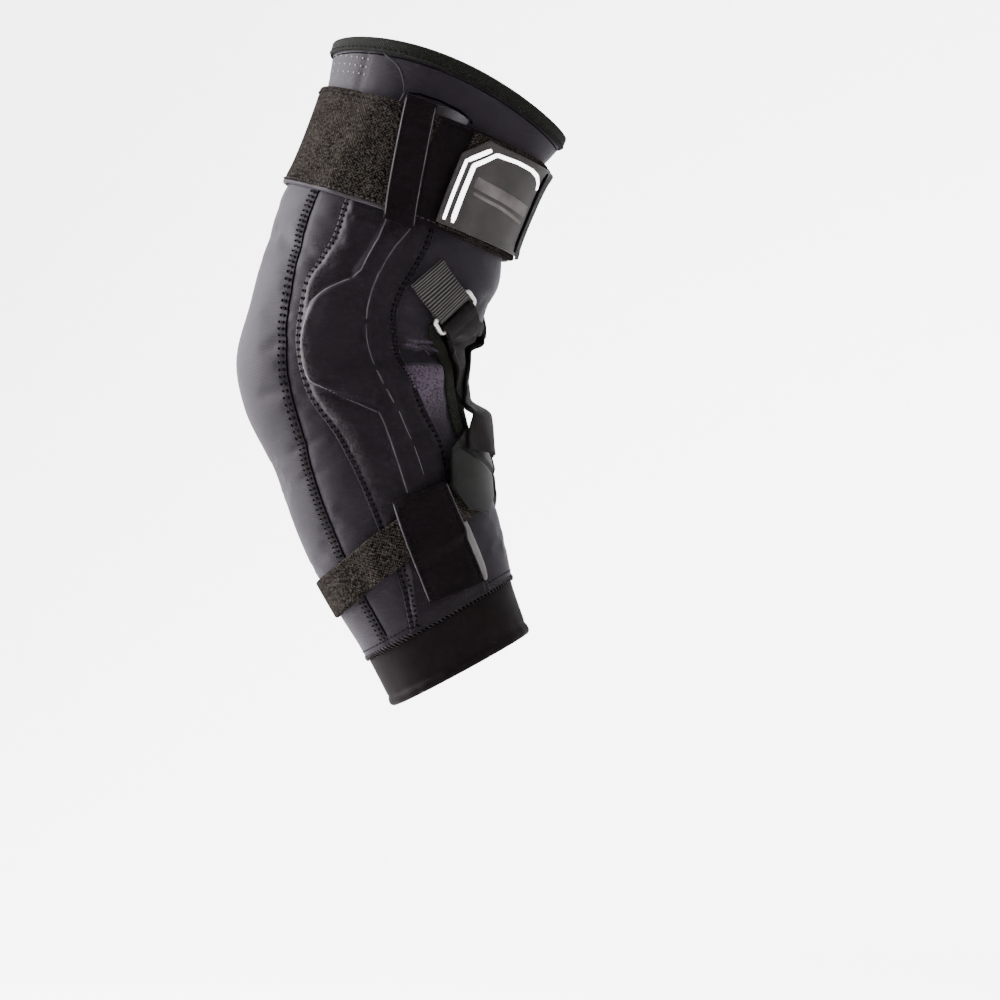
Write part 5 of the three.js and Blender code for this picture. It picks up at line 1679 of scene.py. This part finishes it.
# %% [markdown]
# ## Pale lines of painted highlight under taut cloth
#
# Where cloth is drawn tight over the plate and the bars, light catches their edges. Each edge is
# a low bead along its measured path, coloured pale as a painted highlight; these lines are the
# main drawing of the brace's side. The rim behind the plate is the widest, because the cloth turns
# there most. The seams between two cloths are dark. The satin lining shows as a narrow strip at a
# few edges, paler as a painted highlight of its sheen, and eyelets stand in three rows.

# %% Edges of the plate, bars and seams
def keeper_top(s, angle):
    return on_strap(s, angle) + 1.15


def cover_face(s, angle):
    return cover_top(s, angle) - 0.05


def seam_face(s, angle):
    return sleeve_top(s, angle) + 0.1


# painted highlights along edges: places, angles on the outer side, and width
EDGE_HIGHLIGHTS = {
    "bar_edge_rear": ([-63, -53, -38, -33], [88, 88.3, 91, 94.5], 0.75),
    "plate_edge_top": ([-33, -30.5, -24.5, -19.5, -16], [94.5, 98, 105, 110, 110.4], 0.8),
    "plate_rim": ([-19, -13, -6, 1, 5, 9], [110.2, 110.2, 109.5, 108.8, 107.8, 104.5], 1.35),
    "plate_edge_low": ([8, 14, 21, 28], [105.5, 96, 87, 79.5], 0.7),
    "bar_edge_low_rear": ([27, 33, 40, 52, 64.5], [79.5, 78, 77, 76.3, 76], 0.7),
    "bar_edge_front": ([-63, -53, -46, -39], [76, 80, 81.7, 83], 0.75),
    "plate_edge_front": ([-41, -36, -32, -24, -18], [83, 83.6, 84, 83.6, 82.8], 0.85),
    "plate_edge_middle": ([-17, -10, -2, 4], [82.7, 80.8, 77.6, 75.6], 0.55),
    "bar_edge_low_front": ([6, 11, 15], [75.2, 74, 73.2], 0.8),
    "bar_edge_low_mid": ([17, 22, 27], [72.8, 72, 71.2], 0.75),
    "bar_edge_low_next": ([30, 38, 44], [70, 67.8, 66.2], 0.65),
    "bar_edge_low_last": ([46, 53, 60], [65.9, 65.3, 65], 0.65),
}
# places, angles on the outer side, surface, width, rise, finish, tip and slot
SHORT_LINES = {
    # satin_rear: its grey is a painted highlight of the satin's sheen
    "satin_rear": (
        [91, 98, 106, 114], [88.6, 91.2, 94.4, 97.6], cover_face, 3.0, 0.3, HEM_AND_HIGHLIGHT, 4, "cover",
    ),
    # satin_top: its colour grows lighter along it as a painted highlight
    "satin_top": (
        [-111.4, -112.1, -112.0, -110.9], [86, 81, 76, 69.2], cover_face, 4.6, 0.3, SATIN_PAINTED_HIGHLIGHT,
        1.5, "cover",
    ),
    "cover_top_seam": (
        [-113.4, -115.4, -115.9, -115.4, -113.9, -112.1], [103, 96, 86, 76, 70, 66.5], sleeve_top,
        1.1, 0.3, DARK_LINE, 2, "neoprene",
    ),
}
EYELET_ANGLES = [159, 151, 145, 140, 135.5, 131.5, 128]
shares = np.linspace(0.015, 0.985, 30)
for side, name in SIDES:
    for line, (s, angle, width) in EDGE_HIGHLIGHTS.items():
        angle = np.array(angle) * side
        bead(f"{line}_{name}", "cover", s, angle, cover_face, width, 0.22, EDGE_HIGHLIGHT, tip=2.5)
    # pale painted highlights along the patch edges
    front, rear = patch_edges(shares)
    for edge, line in ((front + 0.5, "patch_edge_front"), (rear - 0.5, "patch_edge_rear")):
        path = PATCH_TOP + shares * PATCH_LENGTH, edge * side
        bead(f"{line}_{name}", "cover", *path, patch_top, 0.6, 0.18, EDGE_HIGHLIGHT, tip=4)
    # the satin lining strip; its pale colour is a painted highlight of its sheen
    s = np.linspace(80, 111, 12)
    front, _ = patch_edges((s - PATCH_TOP) / PATCH_LENGTH)
    path = s, (front - 4.2) * side
    bead(f"satin_strip_{name}", "cover", *path, cover_face, 5.2, 0.4, SATIN, tip=9)
    for line, (s, angle, surface, width, rise, finish, tip, slot) in SHORT_LINES.items():
        angle = np.array(angle) * side
        bead(f"{line}_{name}", slot, s, angle, surface, width, rise, finish, tip=tip)
    path = line_of(REAR_SEAM, "angle", -66, 118, -0.1, side)
    bead(f"rear_seam_line_{name}", "neoprene", *path, seam_face, 0.95, 0.3, DARK_LINE, tip=1)
    # a pale line painted as the highlight along the flap's edge
    s = np.linspace(-129, -111, 30)
    path = s, read(FLAP_SEAM, s, "angle", "s") * side
    bead(f"flap_edge_{name}", "neoprene", *path, seam_face, 1.1, 0.3, HEM_AND_HIGHLIGHT, tip=3)
    s = np.repeat([-121.0, -117.6, -114.4], 7) - np.tile(np.linspace(0, 1.3, 7), 3)
    angle = np.tile(EYELET_ANGLES, 3) * side
    studs(f"eyelets_{name}", s, angle, sleeve_top, 0.5, 0.3, EYELET)
shares = np.linspace(0.02, 0.98, 30)
# pale painted highlights along the keeper's edges
for edge, end in ((0.045, "rear"), (0.955, "front")):
    path = keeper_place(edge + 0 * shares, shares)
    bead(f"keeper_edge_{end}", "cover", *path, keeper_top, 0.6, 0.15, EDGE_HIGHLIGHT, tip=5)
turn = np.linspace(0, 360, 200)
path = cuff_seam(turn) + 0.05, turn
bead("cuff_seam_core", "knit", *path, wall_top, 1.5, -0.3, DARK_LINE, sunk=1.6)
turn = np.linspace(-175, 175, 160)
path = rim_top(turn) + 5.9, turn
bead("binding_shadow", "neoprene", *path, sleeve_top, 0.8, 0.1, DARK_LINE, tip=1)
print(len(EDGE_HIGHLIGHTS) + len(SHORT_LINES), "lines on each side")

# %% [markdown]
# ## Studio
#
# The photograph has a white ground and soft light from above and from the left, which leaves a pale
# edge on the back of the upper arm. The ground is a wide pale bowl, so that there is no horizon
# from any side. Large area lights keep every edge soft.


# %% Ground and lights
def make_ground():
    """A disc that curves up at its rim: its height goes with the squared share past the flat."""
    radius = np.concatenate([[0.01], np.linspace(0.3, 3.2, 30)])
    around = np.arange(96) * 2 * np.pi / 96
    r, turn = np.meshgrid(radius, around, indexing="ij")
    z = -0.62 + 2.6 * np.clip((r - 1.7) / 1.5, 0, 1) ** 2
    points = np.stack([r * np.cos(turn) + 0.06, r * np.sin(turn), z], -1) / MM
    faces, row, column = grid_faces(31, 96, wrap_columns=True)
    dark, light = (0.86, 0.86, 0.86), (0.88, 0.88, 0.88)
    paint = smooth_finish("ground", dark, light, 0.9, 4.0, 0.01, specular=0.1)
    ground = build("ground", points, faces, np.stack([row, column], -1) * 10.0, paint)
    if ground.data.polygons[40].normal.z < 0:
        ground.data.flip_normals()


def area_light(name, place, size, power, colour=(1, 1, 1)):
    light = bpy.data.lights.new(name, "AREA")
    light.shape = "RECTANGLE"
    light.size, light.size_y = size
    light.energy = power
    light.color = colour
    aim(add_object(name, light), place, (0.06, 0, -0.03))


make_ground()
area_light("top_softbox", (0.0, -0.5, 1.5), (1.4, 1.2), 26)
area_light("left_edge", (-1.25, 0.26, 0.3), (0.5, 1.3), 480, (0.99, 0.96, 1.0))
area_light("front_fill", (0.5, -1.6, 0.5), (1.2, 1.0), 8)
area_light("right_edge", (1.3, 0.2, 0.3), (0.5, 1.2), 9)
area_light("back_fill", (0.1, 1.5, 0.6), (1.2, 1.0), 10)
world = bpy.data.worlds.new("studio")
bpy.context.scene.world = world
world.use_nodes = True
sky = world.node_tree.nodes["Background"].inputs
sky["Color"].default_value = (1, 1, 1, 1)
sky["Strength"].default_value = 4.6
